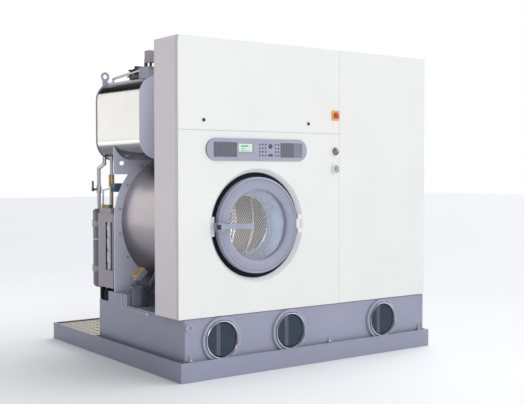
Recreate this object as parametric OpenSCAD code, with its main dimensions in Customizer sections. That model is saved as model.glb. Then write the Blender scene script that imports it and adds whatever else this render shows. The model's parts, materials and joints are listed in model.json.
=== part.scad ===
// Dry cleaning machine: drip tray, solvent tank, drum with loading door, white front and service side.
// Origin: middle of the footprint, on the floor. +X right, +Y to the back, +Z up. Millimetres.

/* [Drip tray] */
// Width of the tray, the whole footprint
tray_w = 2090; // [2000:10:2400]
// Depth of the tray
tray_d = 1900; // [1800:10:2200]
// Height of the tray's rim
tray_h = 120; // [80:5:150]
// Sheet of the tray
tray_wall = 5; // [3:1:8]
// Width of the rim's folded lip
tray_lip = 15; // [10:1:17]

/* [Solvent tank] */
// Gap from the tray's left side to the tank
tank_left_gap = 51; // [45:1:70]
// Gap from the tray's right side to the tank
tank_right_gap = 18; // [18:1:40]
// Gap from the tray's front to the tank
tank_setback = 42; // [40:1:60]
// Depth of the tank
tank_d = 1162; // [1130:1:1220]
// Height of the tank
tank_h = 367; // [340:1:420]
// Plate of the tank
tank_wall = 5; // [4:1:8]
// Height of the saddle that carries the drum plate
saddle_h = 73; // [60:1:80]
// Plate of the saddle
saddle_wall = 6; // [4:1:10]
// Reach of the saddle in front of the drum plate
saddle_front = 191; // [120:1:240]
// Reach of the saddle behind the drum plate
saddle_back = 82; // [40:1:120]

/* [Sight glasses] */
// Distance of the first glass from the tank's left side
sight_1 = 261; // [220:1:300]
// Distance of the second glass from the tank's left side
sight_2 = 794; // [740:1:850]
// Distance of the third glass from the tank's left side
sight_3 = 1609; // [1500:1:1700]
// Height of the glasses above the tank's bottom
sight_height = 225; // [190:1:225]
// Diameter of the bolted flange
flange_d = 284; // [276:1:290]
// Thickness of the bolted flange
flange_t = 14; // [12:1:18]
// Diameter of the glass
glass_d = 223; // [210:1:228]
// Thickness of the glass
glass_t = 8; // [6:1:10]
// Visible diameter inside the bright rim
sight_view_d = 202; // [180:1:204]
// Width of the level ladder behind each glass
ladder_w = 30; // [24:1:40]
// Step of the ladder's holes
ladder_step = 14; // [12:1:20]

/* [White panels] */
// Gap from the tray's front to the panels
panel_setback = 32; // [24:1:36]
// Gap from the tray's left side to the panels
panel_left_gap = 4; // [2:1:10]
// Gap between tank and panels
panel_gap = 5; // [3:1:10]
// Width of the left panels
door_panel_w = 1258; // [1240:1:1300]
// Height of the lower left panel
lower_panel_h = 1142; // [1120:1:1200]
// Height of the service flap
flap_h = 561; // [480:1:640]
// Depth of the side panels
side_panel_d = 289; // [270:1:300]
// Sheet of the panels
sheet = 2.5; // [1.5:0.5:3]
// Depth of a panel with its folds
panel_depth = 25; // [24:1:30]
// Seam between panels
seam = 1.5; // [1:0.5:3]
// Square tube of the frame behind the panels
post = 40; // [30:1:45]

/* [Controls] */
// Length of the control bezel
bezel_w = 778; // [740:1:800]
// Height of the control bezel
bezel_h = 138; // [134:1:150]
// Thickness of the control bezel
bezel_t = 8; // [7:1:12]
// Height of the bezel's centre above the door's axis
bezel_up = 475; // [460:1:500]
// Diameter of a membrane key
key_d = 12; // [8:1:16]
// Step of the membrane keys
key_step = 23; // [20:1:25]
// Diameter of the start button
start_d = 30; // [24:1:34]
// Travel of the start button
start_travel = 3; // [2:1:3]
// Side of the stop switch's plate
stop_plate_w = 65; // [60:1:66]
// Diameter of the stop button
stop_d = 41; // [36:1:50]
// Travel of the stop button
stop_travel = 6; // [4:1:6]
// Height of the stop switch above the flap's seam
stop_up = 123; // [100:1:160]
// Distance of the dials and the stop switch from the seam
dial_in = 36; // [35:1:45]
// Diameter of the selector knob
knob_d = 53; // [46:1:60]
// Diameter of the dials' chrome rings
dial_d = 63; // [62:1:68]
// Height of the selector knob above the door's axis
knob_up = 474; // [460:1:500]
// Height of the gauge above the door's axis
gauge_up = 355; // [330:1:380]

/* [Door] */
// Distance of the door's axis from the panels' left side
door_x = 583; // [570:1:600]
// Height of the door's axis above the panels' bottom
door_z = 551; // [540:1:570]
// Diameter of the recess in the panel
recess_d = 718; // [712:1:730]
// Diameter of the recess at its bottom
recess_in_d = 670; // [668:1:680]
// Depth of the recess
recess_depth = 27; // [24:1:27]
// Diameter of the door ring
door_d = 610; // [600:1:612]
// Height of the door ring in front of the panel
door_proud = 8; // [6:1:12]
// Diameter of the door's opening
door_view_d = 448; // [430:1:460]
// Diameter of the door's glass
door_glass_d = 472; // [470:1:480]
// Thickness of the door's glass
door_glass_t = 12; // [8:1:12]
// Length of the handle
handle_l = 262; // [220:1:300]
// Height of the handle
handle_h = 33; // [28:1:40]
// Thickness of the handle
handle_t = 14; // [10:1:16]
// Reach of the handle in front of the panel
handle_reach = 45; // [44:1:60]

/* [Drum] */
// Outer diameter of the drum housing
drum_d = 944; // [930:1:950]
// Sheet of the drum housing
drum_wall = 4; // [3:1:6]
// Distance from the panels' front to the drum housing
drum_setback = 170; // [160:1:190]
// Distance from the panels' front to the drum plate
plate_setback = 952; // [930:1:980]
// Thickness of the drum plate
plate_t = 12; // [8:1:16]
// Width of the drum plate's ring
plate_ring = 55; // [50:1:55]
// Diameter of the loading neck
neck_d = 484; // [480:1:500]
// Clear width of the neck at the drum, where its cone ends
neck_end_d = 384; // [360:1:400]
// Gap between the drum housing and the cage
cage_gap = 33; // [28:1:40]
// Sheet of the cage
cage_wall = 3; // [2:1:5]
// Diameter of the cage's mouth
mouth_d = 376; // [350:1:390]
// Height of the lifters in the cage
lifter_h = 70; // [50:1:100]
// Diameter of the drum shaft
shaft_d = 70; // [60:1:80]
// Diameter of the cage pulley
pulley_d = 560; // [480:1:580]
// Width of the pulleys
pulley_w = 60; // [50:1:70]
// Diameter of the motor pulley
motor_pulley_d = 90; // [80:1:120]
// Thickness of the belt
belt_t = 8; // [6:1:12]
// Gap between the drum plate and the drive motor's axis
motor_gap = 161; // [140:1:180]
// Radius of the drive motor
motor_r = 90; // [80:1:95]

/* [Air box] */
// Width of the air box
box_w = 645; // [600:1:660]
// Height of the air box
box_h = 550; // [500:1:560]
// Length of the air box
box_l = 632; // [600:1:660]
// Reach of the air box in front of the drum plate
box_front = 362; // [340:1:380]
// Corner radius of the air box
box_r = 135; // [110:1:140]
// Height of the air box's bottom above the drum's axis
box_up = 422; // [415:1:440]
// Sheet of the air box
box_wall = 3; // [2:1:5]
// Height of the collar above the air box
collar_h = 56; // [40:1:70]
// Radius of the lifting eye
eye_r = 32; // [28:1:34]
// Radius of the hole in the lifting eye
eye_hole = 16; // [12:1:18]
// Radius of the fan
fan_r = 190; // [150:1:200]

/* [Service side] */
// Radius of the upright vessel
vessel_r = 82; // [70:1:85]
// Height of the upright vessel
vessel_h = 559; // [500:1:600]
// Depth of the cooler frame
cooler_d = 228; // [210:1:240]
// Height of the cooler frame
cooler_h = 515; // [480:1:540]
// Radius of the button trap
pot_r = 50; // [40:1:55]
// Height of the button trap
pot_h = 132; // [110:1:150]
// Radius of the chute from the drum to the button trap
chute_r = 20; // [15:1:22]
// Radius of the large pipes
pipe_r = 14; // [10:1:15]
// Radius of the small pipes
tube_r = 6; // [4:1:8]
// Diameter of the interlock's leads
lead_d = 6; // [5:1:7]
// Distance from the tank's right side to the still's axis
still_in = 777; // [740:1:800]
// Gap between the cage pulley and the still
still_gap = 89; // [70:1:100]
// Height of the still's body above the tank's bottom
still_lift = 145; // [130:1:160]
// Radius of the still
still_r = 240; // [200:1:250]
// Height of the still's body
still_h = 850; // [760:1:900]
// Radius of the still's door opening
still_door_r = 122; // [100:1:130]
// Radius of the pipe between still and filter
line_r = 20; // [15:1:25]
// Distance between the axes of still and filter
filter_step = 450; // [430:1:470]
// Radius of the filter
filter_r = 165; // [140:1:180]
// Height of the filter
filter_h = 1395; // [1200:10:1500]
// Distance from the drive motor's axis to the switch box
switch_box_gap = 330; // [310:1:350]
// Height of the switch box
switch_box_h = 1280; // [1000:10:1400]
// Radius of the vent spigot
vent_r = 50; // [40:1:60]
// Length of the vent spigot
vent_l = 90; // [60:1:120]

/* [Hidden] */
$fn = 96;
cut = 1;
film = 0.2;
play = 0.3;
running = 0.05;
pin_r = 5;

tray_y0 = -(tray_d - (handle_reach - panel_setback)) / 2;
tray_y1 = tray_y0 + tray_d;
tray_x0 = -tray_w / 2;
tray_x1 = tray_w / 2;

tank_x0 = tray_x0 + tank_left_gap;
tank_x1 = tray_x1 - tank_right_gap;
tank_y0 = tray_y0 + tank_setback;
tank_y1 = tank_y0 + tank_d;
tank_z0 = tray_wall;
tank_z1 = tank_z0 + tank_h;
sights = [tank_x0 + sight_1, tank_x0 + sight_2, tank_x0 + sight_3];
sight_z = tank_z0 + sight_height;
rim_reach = 4;
splits = [(sights[0] + sights[1]) / 2, (sights[1] + sights[2]) / 2];
saddle_z = tank_z1 + saddle_h;

pan_x0 = tray_x0 + panel_left_gap;
pan_x1 = tank_x1;
pan_y = tray_y0 + panel_setback;
pan_z0 = tank_z1 + panel_gap;
seam_z = pan_z0 + lower_panel_h;
top_z = seam_z + flap_h;
seam_x = pan_x0 + door_panel_w;
fold_in = sheet + 0.5;
post_y = pan_y + panel_depth;
post_back_y = pan_y + side_panel_d - sheet;

ax = pan_x0 + door_x;
az = pan_z0 + door_z;
dial_x = seam_x - dial_in;
bezel_z = az + bezel_up;
stop_z = seam_z + stop_up;
stop_gap = 1;

door_r = door_d / 2;
recess_r = recess_d / 2;
recess_in_r = recess_in_d / 2;
gasket_y = pan_y + recess_depth + 3;
gasket_t = 20;
neck_y = gasket_y + gasket_t;
neck_flange_t = 6;
door_back = gasket_y - play;
glass_seat = door_back - 5.7;
hinge_x = ax + door_r + 21;
hinge_y = pan_y + 6;
hinge_r = 9;
handle_pivot_x = ax - door_r - 7;
handle_y = pan_y - handle_reach + handle_t / 2;

drum_r = drum_d / 2;
drum_y0 = pan_y + drum_setback;
drum_front_t = 6;
plate_y0 = pan_y + plate_setback;
plate_y1 = plate_y0 + plate_t;
plate_r = drum_r + plate_ring;
bolt_ring_r = drum_r + 23;
wall_y1 = plate_y1 + 12;
cage_r = drum_r - drum_wall - cage_gap;
cage_y0 = drum_y0 + drum_front_t + 8;
cage_y1 = plate_y1 - 47;
hub_t = 8;
shaft_r = shaft_d / 2;
bearing_y1 = wall_y1 + 135;
bearing_r = 62;
pulley_y0 = bearing_y1 + 22;
pulley_y1 = pulley_y0 + pulley_w;
pulley_r = pulley_d / 2;
motor_x = ax + plate_r + motor_gap;
motor_z = tank_z1 + motor_r + 40;
motor_pulley_r = motor_pulley_d / 2;

box_x0 = ax - plate_r;
box_x1 = box_x0 + box_w;
box_y0 = plate_y0 - box_front;
box_y1 = box_y0 + box_l;
box_z0 = az + box_up;
box_z1 = box_z0 + box_h;
rim_t = 6;
duct_x0 = ax - 180;
duct_x1 = ax - 40;
duct_y0 = plate_y0 - 290;
duct_y1 = plate_y0 - 140;
fan_x = (box_x0 + box_x1) / 2;
fan_z = (box_z0 + box_z1) / 2;
fan_motor_r = 85;
fan_shaft_r = 12;

cooler_x0 = box_x0;
cooler_x1 = box_x0 + 225;
cooler_y0 = wall_y1 + 2;
cooler_y1 = cooler_y0 + cooler_d;
cooler_z0 = tank_z1 + 92;
cooler_z1 = cooler_z0 + cooler_h;
cooler_wall = 6;
vessel_x = cooler_x0 + 8 + vessel_r;
vessel_y = cooler_y1 + vessel_r + play;
vessel_z0 = cooler_z0 - 19;
vessel_z1 = vessel_z0 + vessel_h;
window_y0 = cooler_y0 + 8;
window_w = 108;
window_z0 = cooler_z0 + 122;
window_h = 334;
pump_r = 42;
pump_x = cooler_x0 + 95;
pump_z = tank_z1 + pump_r + 4;
pump_y0 = cooler_y0 + 66;
pot_wall = 4;
pot_x = tank_x0 + pot_r + 12;
pot_y = plate_y0 - saddle_front - pot_r - 12;
pot_z1 = tank_z1 + pot_h;
pot_lid_z = pot_z1 + film;
pot_pin_y = pot_y - pot_r - 20;
chute_in = drum_r - 12;
chute_top = [ax - chute_in * cos(45), pot_y, az - chute_in * sin(45)];
chute_end = [pot_x + 20, pot_y, tank_z1 + 28];
still_x = tank_x1 - still_in;
still_y = pulley_y1 + still_gap + still_r;
still_z0 = tank_z0 + still_lift;
still_z1 = still_z0 + still_h;
still_wall = 6;
still_neck = still_r + 22;
still_door_z = still_z0 + 300;
filter_x = still_x + filter_step;
filter_y = still_y;
sb_x0 = motor_x + switch_box_gap;
sb_x1 = tank_x1 - 27;
sb_y0 = plate_y0 - 60;
sb_y1 = tank_y1 - 20;
sb_z0 = tank_z1;
sb_z1 = sb_z0 + switch_box_h;
walk_x0 = tray_x0 + tray_wall + 5;
walk_x1 = ax + 300;
walk_y0 = tank_y1 + 36;
walk_y1 = tray_y1 - tray_wall - 5;
walk_z1 = tray_h - tray_wall - 3;
walk_pitch = 60;

// Two leads of the interlock switch, from their glands down to the saddle's top; parts of the drop in Z
lead_fall = [[0, 0, 0], [-14, -2, -0.16], [-34, -8, -0.35], [-48, -16, -0.6], [-56, -24, -0.82]];
// The front lead's way on: over the saddle's outer edge, down its side and forward to its gland
lead_x = tank_x0 - lead_d / 2 - 2 * play;
lead_z = saddle_z + lead_d / 2 + play;
lead_on = [
    [tank_x0 + 40, plate_y0 - 112, lead_z + 1], [tank_x0 + 12, plate_y0 - 124, lead_z + 3],
    [lead_x - 2, plate_y0 - 128, lead_z - 4], [lead_x, plate_y0 - 130, saddle_z - 30],
    [lead_x, plate_y0 - 132, tank_z1 + 14], [lead_x, plate_y0 - 140, tank_z1 - 12],
    [lead_x, plate_y0 - 170, tank_z1 - 18], [lead_x, plate_y0 - 490, tank_z1 - 20]
];

// ---- shapes used by several pieces ----

module block(x0, x1, y0, y1, z0, z1) {
    translate([x0, y0, z0])
        cube([x1 - x0, y1 - y0, z1 - z0]);
}

// Round bar along +Y
module rod_y(x, z, r, y0, y1) {
    translate([x, y0, z])
        rotate([-90, 0, 0])
            cylinder(r = r, h = y1 - y0);
}

// Round bar along +X
module rod_x(y, z, r, x0, x1) {
    translate([x0, y, z])
        rotate([0, 90, 0])
            cylinder(r = r, h = x1 - x0);
}

// Round bar along +Z
module rod_z(x, y, r, z0, z1) {
    translate([x, y, z0])
        cylinder(r = r, h = z1 - z0);
}

module ring_y(x, z, r, bore, y0, y1) {
    difference() {
        rod_y(x, z, r, y0, y1);
        rod_y(x, z, bore, y0 - cut, y1 + cut);
    }
}

// An outline in X and Z, given a thickness along Y
module slab_y(y0, y1) {
    translate([0, y1, 0])
        rotate([90, 0, 0])
            linear_extrude(y1 - y0)
                children();
}

// A profile of radius and depth, turned about an axis along Y
module turned_y(x, z, y) {
    translate([x, y, z])
        rotate([-90, 0, 0])
            rotate_extrude()
                children();
}

// Rectangle with round corners
module rounded(x0, x1, z0, z1, r) {
    translate([x0 + r, z0])
        square([x1 - x0 - 2 * r, z1 - z0]);
    translate([x0, z0 + r])
        square([x1 - x0, z1 - z0 - 2 * r]);
    for (x = [x0 + r, x1 - r], z = [z0 + r, z1 - r])
        translate([x, z])
            circle(r);
}

// Straight round bar between two points
module bar(p, q, r) {
    d = q - p;
    translate(p)
        rotate([0, acos(d[2] / norm(d)), atan2(d[1], d[0])])
            cylinder(r = r, h = norm(d));
}

// Pipe through a list of points, with a round fitting at each corner
module pipe(points, r) {
    for (i = [0 : len(points) - 2])
        bar(points[i], points[i + 1], r);
    for (i = [1 : 1 : len(points) - 2])
        translate(points[i])
            sphere(r + 1.5);
}

// Upright body with rounded ends
module capsule(r, z0, z1, corner) {
    rotate_extrude()
        intersection() {
            rounded(-r, r, z0, z1, corner);
            translate([0, z0])
                square([r + cut, z1 - z0]);
        }
}

// Hollow upright vessel with an inlet at the top, off its centre
module vessel(r, z0, z1, corner, wall, inlet_x, inlet_r) {
    difference() {
        capsule(r, z0, z1, corner);
        capsule(r - wall, z0 + wall, z1 - wall, corner - wall);
        rod_z(inlet_x, 0, inlet_r, z1 - wall - cut, z1 + cut);
    }
}

// Outline of the air box: rounded, with a saddle for the ring of the drum plate
module box_outline(grow) {
    difference() {
        rounded(box_x0 - grow, box_x1 + grow, box_z0 - grow, box_z1 + grow, box_r + grow);
        translate([ax, az])
            circle(plate_r + play - grow);
    }
}

// ---- base ----

module drip_tray() {
    color([0.55, 0.56, 0.68])
        difference() {
            block(tray_x0, tray_x1, tray_y0, tray_y1, 0, tray_h);
            block(tray_x0 + tray_wall, tray_x1 - tray_wall, tray_y0 + tray_wall, tray_y1 - tray_wall,
                tray_wall, tray_h - tray_wall);
            block(tray_x0 + tray_lip, tray_x1 - tray_lip, tray_y0 + tray_lip, tray_y1 - tray_lip,
                tray_wall + cut, tray_h + cut);
        }
}

module walkway_grating() {
    plate_t = 4;
    rib = 30;
    nx = floor((walk_x1 - walk_x0 - 2 * rib) / walk_pitch);
    ny = floor((walk_y1 - walk_y0 - 2 * rib) / walk_pitch);
    color([0.72, 0.70, 0.66]) {
        difference() {
            block(walk_x0, walk_x1, walk_y0, walk_y1, walk_z1 - plate_t, walk_z1);
            for (i = [0 : nx - 1], j = [0 : ny - 1])
                translate([walk_x0 + rib + (i + 0.5) * walk_pitch, walk_y0 + rib + (j + 0.5) * walk_pitch,
                    walk_z1 - plate_t - cut])
                    cylinder(r = 12, h = plate_t + 2 * cut);
        }
        for (y = [walk_y0, (walk_y0 + walk_y1) / 2 - plate_t, walk_y1 - plate_t])
            block(walk_x0, walk_x1, y, y + plate_t, tray_wall, walk_z1 - plate_t);
    }
}

module saddle(side) {
    x_out = side < 0 ? tank_x0 : ax + plate_r + 9;
    x_in = ax + side * 300;
    x0 = min(x_out, x_in);
    x1 = max(x_out, x_in);
    inner0 = side < 0 ? x0 + saddle_wall : x0 - cut;
    inner1 = side < 0 ? x1 + cut : x1 - saddle_wall;
    difference() {
        block(x0, x1, plate_y0 - saddle_front, plate_y0 + saddle_back, tank_z1 - film, saddle_z);
        block(inner0, inner1, plate_y0 - saddle_front + saddle_wall, plate_y0 + saddle_back - saddle_wall,
            tank_z1, saddle_z - saddle_wall);
    }
}

module solvent_tank() {
    front_y = tank_y0 + tank_wall;
    lefts = [tank_x0 + tank_wall, splits[0] + tank_wall / 2, splits[1] + tank_wall / 2];
    rights = [splits[0] - tank_wall / 2, splits[1] - tank_wall / 2, tank_x1 - tank_wall];
    color([0.40, 0.41, 0.49]) {
        difference() {
            union() {
                block(tank_x0, tank_x1, front_y + film, tank_y1, tank_z0, tank_z1);
                saddle(-1);
                saddle(1);
            }
            for (i = [0 : 2])
                block(lefts[i], rights[i], front_y - cut, tank_y1 - tank_wall,
                    tank_z0 + tank_wall, tank_z1 - tank_wall);
        }
        difference() {
            block(tank_x0, tank_x1, tank_y0, front_y, tank_z0, tank_z1);
            for (x = sights)
                rod_y(x, sight_z, sight_view_d / 2, tank_y0 - cut, front_y + cut);
        }
    }
}

module sight_flanges() {
    flange_r = flange_d / 2;
    bore = glass_d / 2 + play;
    rim_r = glass_d / 2 + 6;
    view_r = sight_view_d / 2 + film;
    color([0.62, 0.64, 0.72])
        for (x = sights) {
            ring_y(x, sight_z, flange_r, bore, tank_y0 - flange_t, tank_y0);
            turned_y(x, sight_z, tank_y0)
                polygon([
                    [view_r, -flange_t - rim_reach],
                    [rim_r, -flange_t - rim_reach],
                    [rim_r, -flange_t - film],
                    [bore - play, -flange_t - film],
                    [bore - play, -glass_t - film],
                    [view_r, -glass_t - film]
                ]);
        }
}

module sight_glasses() {
    color([0.55, 0.62, 0.68, 0.5])
        for (x = sights)
            rod_y(x, sight_z, glass_d / 2, tank_y0 - glass_t, tank_y0);
}

module level_ladders() {
    y0 = tank_y0 + tank_wall + 25;
    z0 = tank_z0 + tank_wall;
    z1 = tank_z1 - tank_wall;
    rows = floor((z1 - z0 - ladder_step) / ladder_step);
    color([0.80, 0.80, 0.82])
        for (x = sights)
            difference() {
                block(x - ladder_w / 2, x + ladder_w / 2, y0, y0 + 2, z0, z1);
                for (i = [0 : rows - 1], side = [-1, 1])
                    rod_y(x + side * ladder_w / 4, z0 + ladder_step * (i + 1), 2.5, y0 - cut, y0 + 2 + cut);
            }
}

// Six-sided head of a bolt, facing the front
module bolt_head(x, z, y, r) {
    translate([x, y, z])
        rotate([90, 0, 0])
            cylinder(r = r, h = 0.7 * r, $fn = 6);
}

module hex_bolts() {
    flange_bolt_r = (glass_d / 2 + 6 + flange_d / 2) / 2;
    corner_x = tank_x1 - 13;
    color([0.66, 0.67, 0.72]) {
        for (x = sights, a = [22.5 : 45 : 360])
            bolt_head(x + flange_bolt_r * cos(a), sight_z + flange_bolt_r * sin(a), tank_y0 - flange_t, 7);
        for (a = [10 : 20 : 350])
            bolt_head(ax + bolt_ring_r * cos(a), az + bolt_ring_r * sin(a), plate_y0, 9);
        for (down = [26, 122, 219])
            bolt_head(corner_x, tank_z1 - down, tank_y0, 7);
        for (x = [70, 130])
            bolt_head(tank_x0 + x, tank_z1 - 17, tank_y0, 6);
    }
}

// ---- cabinet ----

module cabinet_frame() {
    left = tank_x0;
    right = pan_x1 - sheet - play - post;
    middle = seam_x - post / 2;
    top = top_z - sheet - 1;
    rails = [tank_z1 + panel_gap, seam_z - post / 2, top - post];
    reach_x0 = pan_x0 + sheet + play;
    color([0.35, 0.36, 0.42]) {
        for (x = [left, middle, right])
            block(x, x + post, post_y, post_y + post, tank_z1, top);
        for (x = [left, right])
            block(x, x + post, post_back_y - post, post_back_y, tank_z1, top);
        for (z = rails) {
            block(reach_x0, left - film, post_y, post_y + post, z, z + post);
            block(left + post + film, middle - film, post_y, post_y + post, z, z + post);
            block(middle + post + film, right - film, post_y, post_y + post, z, z + post);
        }
        for (x = [left, right], z = [rails[0], rails[2]])
            block(x, x + post, post_y + post + film, post_back_y - post - film, z, z + post);
        block(left + post + film, right - film, post_back_y - post, post_back_y, rails[2], top);
    }
}

// Folded sheet panel: front sheet with folds at the sides that fold says
module folded_panel(x0, x1, z0, z1, depth, folds) {
    inset = fold_in;
    block(x0, x1, pan_y, pan_y + sheet, z0, z1);
    if (folds[0])
        block(x0 + inset, x0 + inset + sheet, pan_y, pan_y + depth, z0, z1);
    if (folds[1])
        block(x1 - inset - sheet, x1 - inset, pan_y, pan_y + depth, z0, z1);
    if (folds[2])
        block(x0 + inset, x1 - inset, pan_y, pan_y + depth, z0, z0 + sheet);
    if (folds[3])
        block(x0 + inset, x1 - inset, pan_y, pan_y + depth, z1 - sheet, z1);
}

module lower_left_panel() {
    color([0.93, 0.93, 0.92])
        difference() {
            folded_panel(pan_x0, seam_x - seam / 2, pan_z0, seam_z - seam / 2, panel_depth,
                [true, true, true, true]);
            rod_y(ax, az, recess_r + play, pan_y - cut, pan_y + sheet + cut);
            rod_y(dial_x, az + knob_up, 6 + running, pan_y - cut, pan_y + sheet + cut);
        }
}

module right_panel() {
    color([0.93, 0.93, 0.92])
        folded_panel(seam_x + seam / 2, pan_x1, pan_z0, top_z, panel_depth, [true, true, true, true]);
}

module side_panels() {
    y0 = pan_y + sheet + play;
    y1 = pan_y + side_panel_d;
    back = 70;
    color([0.76, 0.71, 0.73]) {
        block(pan_x0, pan_x0 + sheet, y0, y1, pan_z0, top_z);
        block(pan_x0, pan_x0 + back, y1 - sheet, y1, pan_z0, top_z);
        block(pan_x1 - sheet, pan_x1, y0, y1, pan_z0, top_z);
        block(pan_x1 - back, pan_x1, y1 - sheet, y1, pan_z0, top_z);
    }
}

module recess_profile() {
    polygon([
        [recess_r, 0],
        [recess_in_r, recess_depth],
        [recess_in_r, recess_depth + 2.5],
        [recess_in_r + 3, recess_depth + 2.5],
        [recess_r - 1, sheet + 4],
        [recess_r + 13, sheet + 2.5],
        [recess_r + 13, sheet],
        [recess_r, sheet]
    ]);
}

// Everything behind the face of the recess, to trim the pieces that sit on it
module recess_behind() {
    turned_y(ax, az, pan_y - film)
        polygon([[recess_r, 0], [recess_in_r, recess_depth], [recess_in_r, 80], [recess_r + 60, 80],
            [recess_r + 60, 0]]);
}

module recess_ring() {
    color([0.95, 0.95, 0.94])
        turned_y(ax, az, pan_y)
            recess_profile();
}

flap_pin_y = pan_y + 12;
flap_pin_z = top_z - 12;
flap_pin_r = 4;
flap_hinges_x = [pan_x0 + 200, seam_x - 260];
flap_depth = 16;
keeper_y = pan_y + 17.5;
tongue_y = pan_y + panel_depth - 3;
knuckle_w = 50;
lock_r = 11;
lock_z = seam_z + 61;
lock_left_x = pan_x0 + 180;
lock_right_x = pan_x0 + 990;

module service_flap() {
    x1 = seam_x - seam / 2;
    notch = stop_plate_w / 2 + stop_gap;
    color([0.93, 0.93, 0.92]) {
        difference() {
            folded_panel(pan_x0, x1, seam_z + seam / 2, top_z, flap_depth, [true, true, true, false]);
            block(dial_x - notch, x1 + cut, pan_y - cut, pan_y + flap_depth + cut,
                stop_z - notch, stop_z + notch);
            block(pan_x0 - cut, pan_x0 + sheet + play, pan_y - cut, pan_y + sheet + cut,
                flap_pin_z - (flap_pin_y - pan_y), top_z + cut);
            for (x = [lock_left_x, lock_right_x])
                rod_y(x, lock_z, 6 + running, pan_y - cut, pan_y + sheet + cut);
            for (x = flap_hinges_x)
                rod_x(flap_pin_y, flap_pin_z, flap_pin_r + running, x - cut, x + knuckle_w + cut);
        }
        for (x = flap_hinges_x)
            difference() {
                union() {
                    rod_x(flap_pin_y, flap_pin_z, 7, x, x + knuckle_w);
                    block(x, x + knuckle_w, pan_y + sheet - film, flap_pin_y,
                        flap_pin_z - 7, flap_pin_z + 7);
                }
                rod_x(flap_pin_y, flap_pin_z, flap_pin_r + running, x - cut, x + knuckle_w + cut);
            }
    }
}

module flap_fittings() {
    color([0.55, 0.56, 0.60])
        for (x = flap_hinges_x) {
            for (ear = [x - 9, x + knuckle_w + 1])
                block(ear, ear + 8, flap_pin_y - 6, post_y, flap_pin_z - 7, flap_pin_z + 7);
            rod_x(flap_pin_y, flap_pin_z, flap_pin_r, x - 9 + cut, x + knuckle_w + 8);
        }
    color([0.55, 0.56, 0.60])
        for (x = [lock_left_x, lock_right_x]) {
            block(x - 14, x + 14, keeper_y, keeper_y + 2.5, seam_z + 6, lock_z - 22);
            block(x - 14, x + 14, keeper_y, post_y, seam_z + 6, seam_z + 12);
        }
}

module flap_lock(x) {
    color([0.25, 0.26, 0.28]) {
        rod_y(x, lock_z, lock_r, pan_y - 2.5, pan_y - film);
        rod_y(x, lock_z, 6, pan_y - 1, tongue_y + 2.5);
        block(x - 40, x + 7, tongue_y, tongue_y + 2.5, lock_z - 7, lock_z + 7);
    }
}

module flap_lock_left() {
    flap_lock(lock_left_x);
}

module flap_lock_right() {
    flap_lock(lock_right_x);
}

// ---- controls ----

legend_h = 91;
legend_left = [-337, -166];
legend_right = [171, 347];
screen_x = [-154, -38];
screen_h = 64;
screen_up = 8;
window_depth = 3;
start_x = ax + 92;
start_z = bezel_z + 24;
oval_z = bezel_z - 33;

module control_bezel() {
    y0 = pan_y - bezel_t;
    color([0.63, 0.64, 0.74])
        difference() {
            slab_y(y0, pan_y)
                rounded(ax - bezel_w / 2, ax + bezel_w / 2, bezel_z - bezel_h / 2, bezel_z + bezel_h / 2,
                    bezel_h / 2 - film);
            for (w = [legend_left, legend_right])
                block(ax + w[0] - play, ax + w[1] + play, y0 - cut, y0 + window_depth,
                    bezel_z - legend_h / 2 - play, bezel_z + legend_h / 2 + play);
            block(ax + screen_x[0] - play, ax + screen_x[1] + play, y0 - cut, y0 + window_depth,
                bezel_z + screen_up - screen_h / 2 - play, bezel_z + screen_up + screen_h / 2 + play);
            rod_y(start_x, start_z, start_d / 2 + running, y0 - cut, pan_y + cut);
        }
}

module display_windows() {
    y0 = pan_y - bezel_t;
    color([0.45, 0.45, 0.52]) {
        for (w = [legend_left, legend_right])
            block(ax + w[0], ax + w[1], y0 + 0.5, y0 + window_depth,
                bezel_z - legend_h / 2, bezel_z + legend_h / 2);
        block(ax + screen_x[0], ax + screen_x[1], y0 + 0.5, y0 + window_depth,
            bezel_z + screen_up - screen_h / 2, bezel_z + screen_up + screen_h / 2);
    }
}

module membrane_keys() {
    y1 = pan_y - bezel_t;
    key_r = key_d / 2;
    color([0.30, 0.31, 0.38]) {
        for (i = [-1 : 1], j = [-1.5 : 1.5])
            rod_y(ax + 31 + i * key_step, bezel_z + j * key_step, key_r, y1 - 1.5, y1);
        for (i = [0, 1], j = [-1.5 : 1.5])
            rod_y(ax + 132 + i * key_step, bezel_z + j * key_step, key_r, y1 - 1.5, y1);
        slab_y(y1 - 1.5, y1)
            rounded(start_x - 19, start_x + 19, oval_z - 7.5, oval_z + 7.5, 7.4);
    }
}

module start_button() {
    y0 = pan_y - bezel_t - start_travel;
    color([0.32, 0.33, 0.40])
        rod_y(start_x, start_z, start_d / 2, y0, pan_y - start_travel - 0.5);
}

module stop_plate() {
    half = stop_plate_w / 2;
    body = half - 5.5;
    color([0.95, 0.68, 0.20])
        difference() {
            union() {
                block(dial_x - half, dial_x + half, pan_y - 3, pan_y + 3, stop_z - half, stop_z + half);
                block(dial_x - body, dial_x + body, pan_y + 3 - film, post_y, stop_z - body, stop_z + body);
            }
            rod_y(dial_x, stop_z, 9 + running, pan_y - 3 - cut, pan_y + 22);
        }
}

module stop_button() {
    head_y = pan_y - 3 - stop_travel - 1;
    color([0.80, 0.20, 0.10]) {
        turned_y(dial_x, stop_z, head_y)
            polygon([[0, -14], [12, -13], [stop_d / 2 - 1, -9], [stop_d / 2, -6], [stop_d / 2, -1],
                [stop_d / 2 - 2, 0], [0, 0]]);
        rod_y(dial_x, stop_z, 9, head_y - cut, pan_y + 22 - stop_travel - 1);
    }
}

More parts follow.
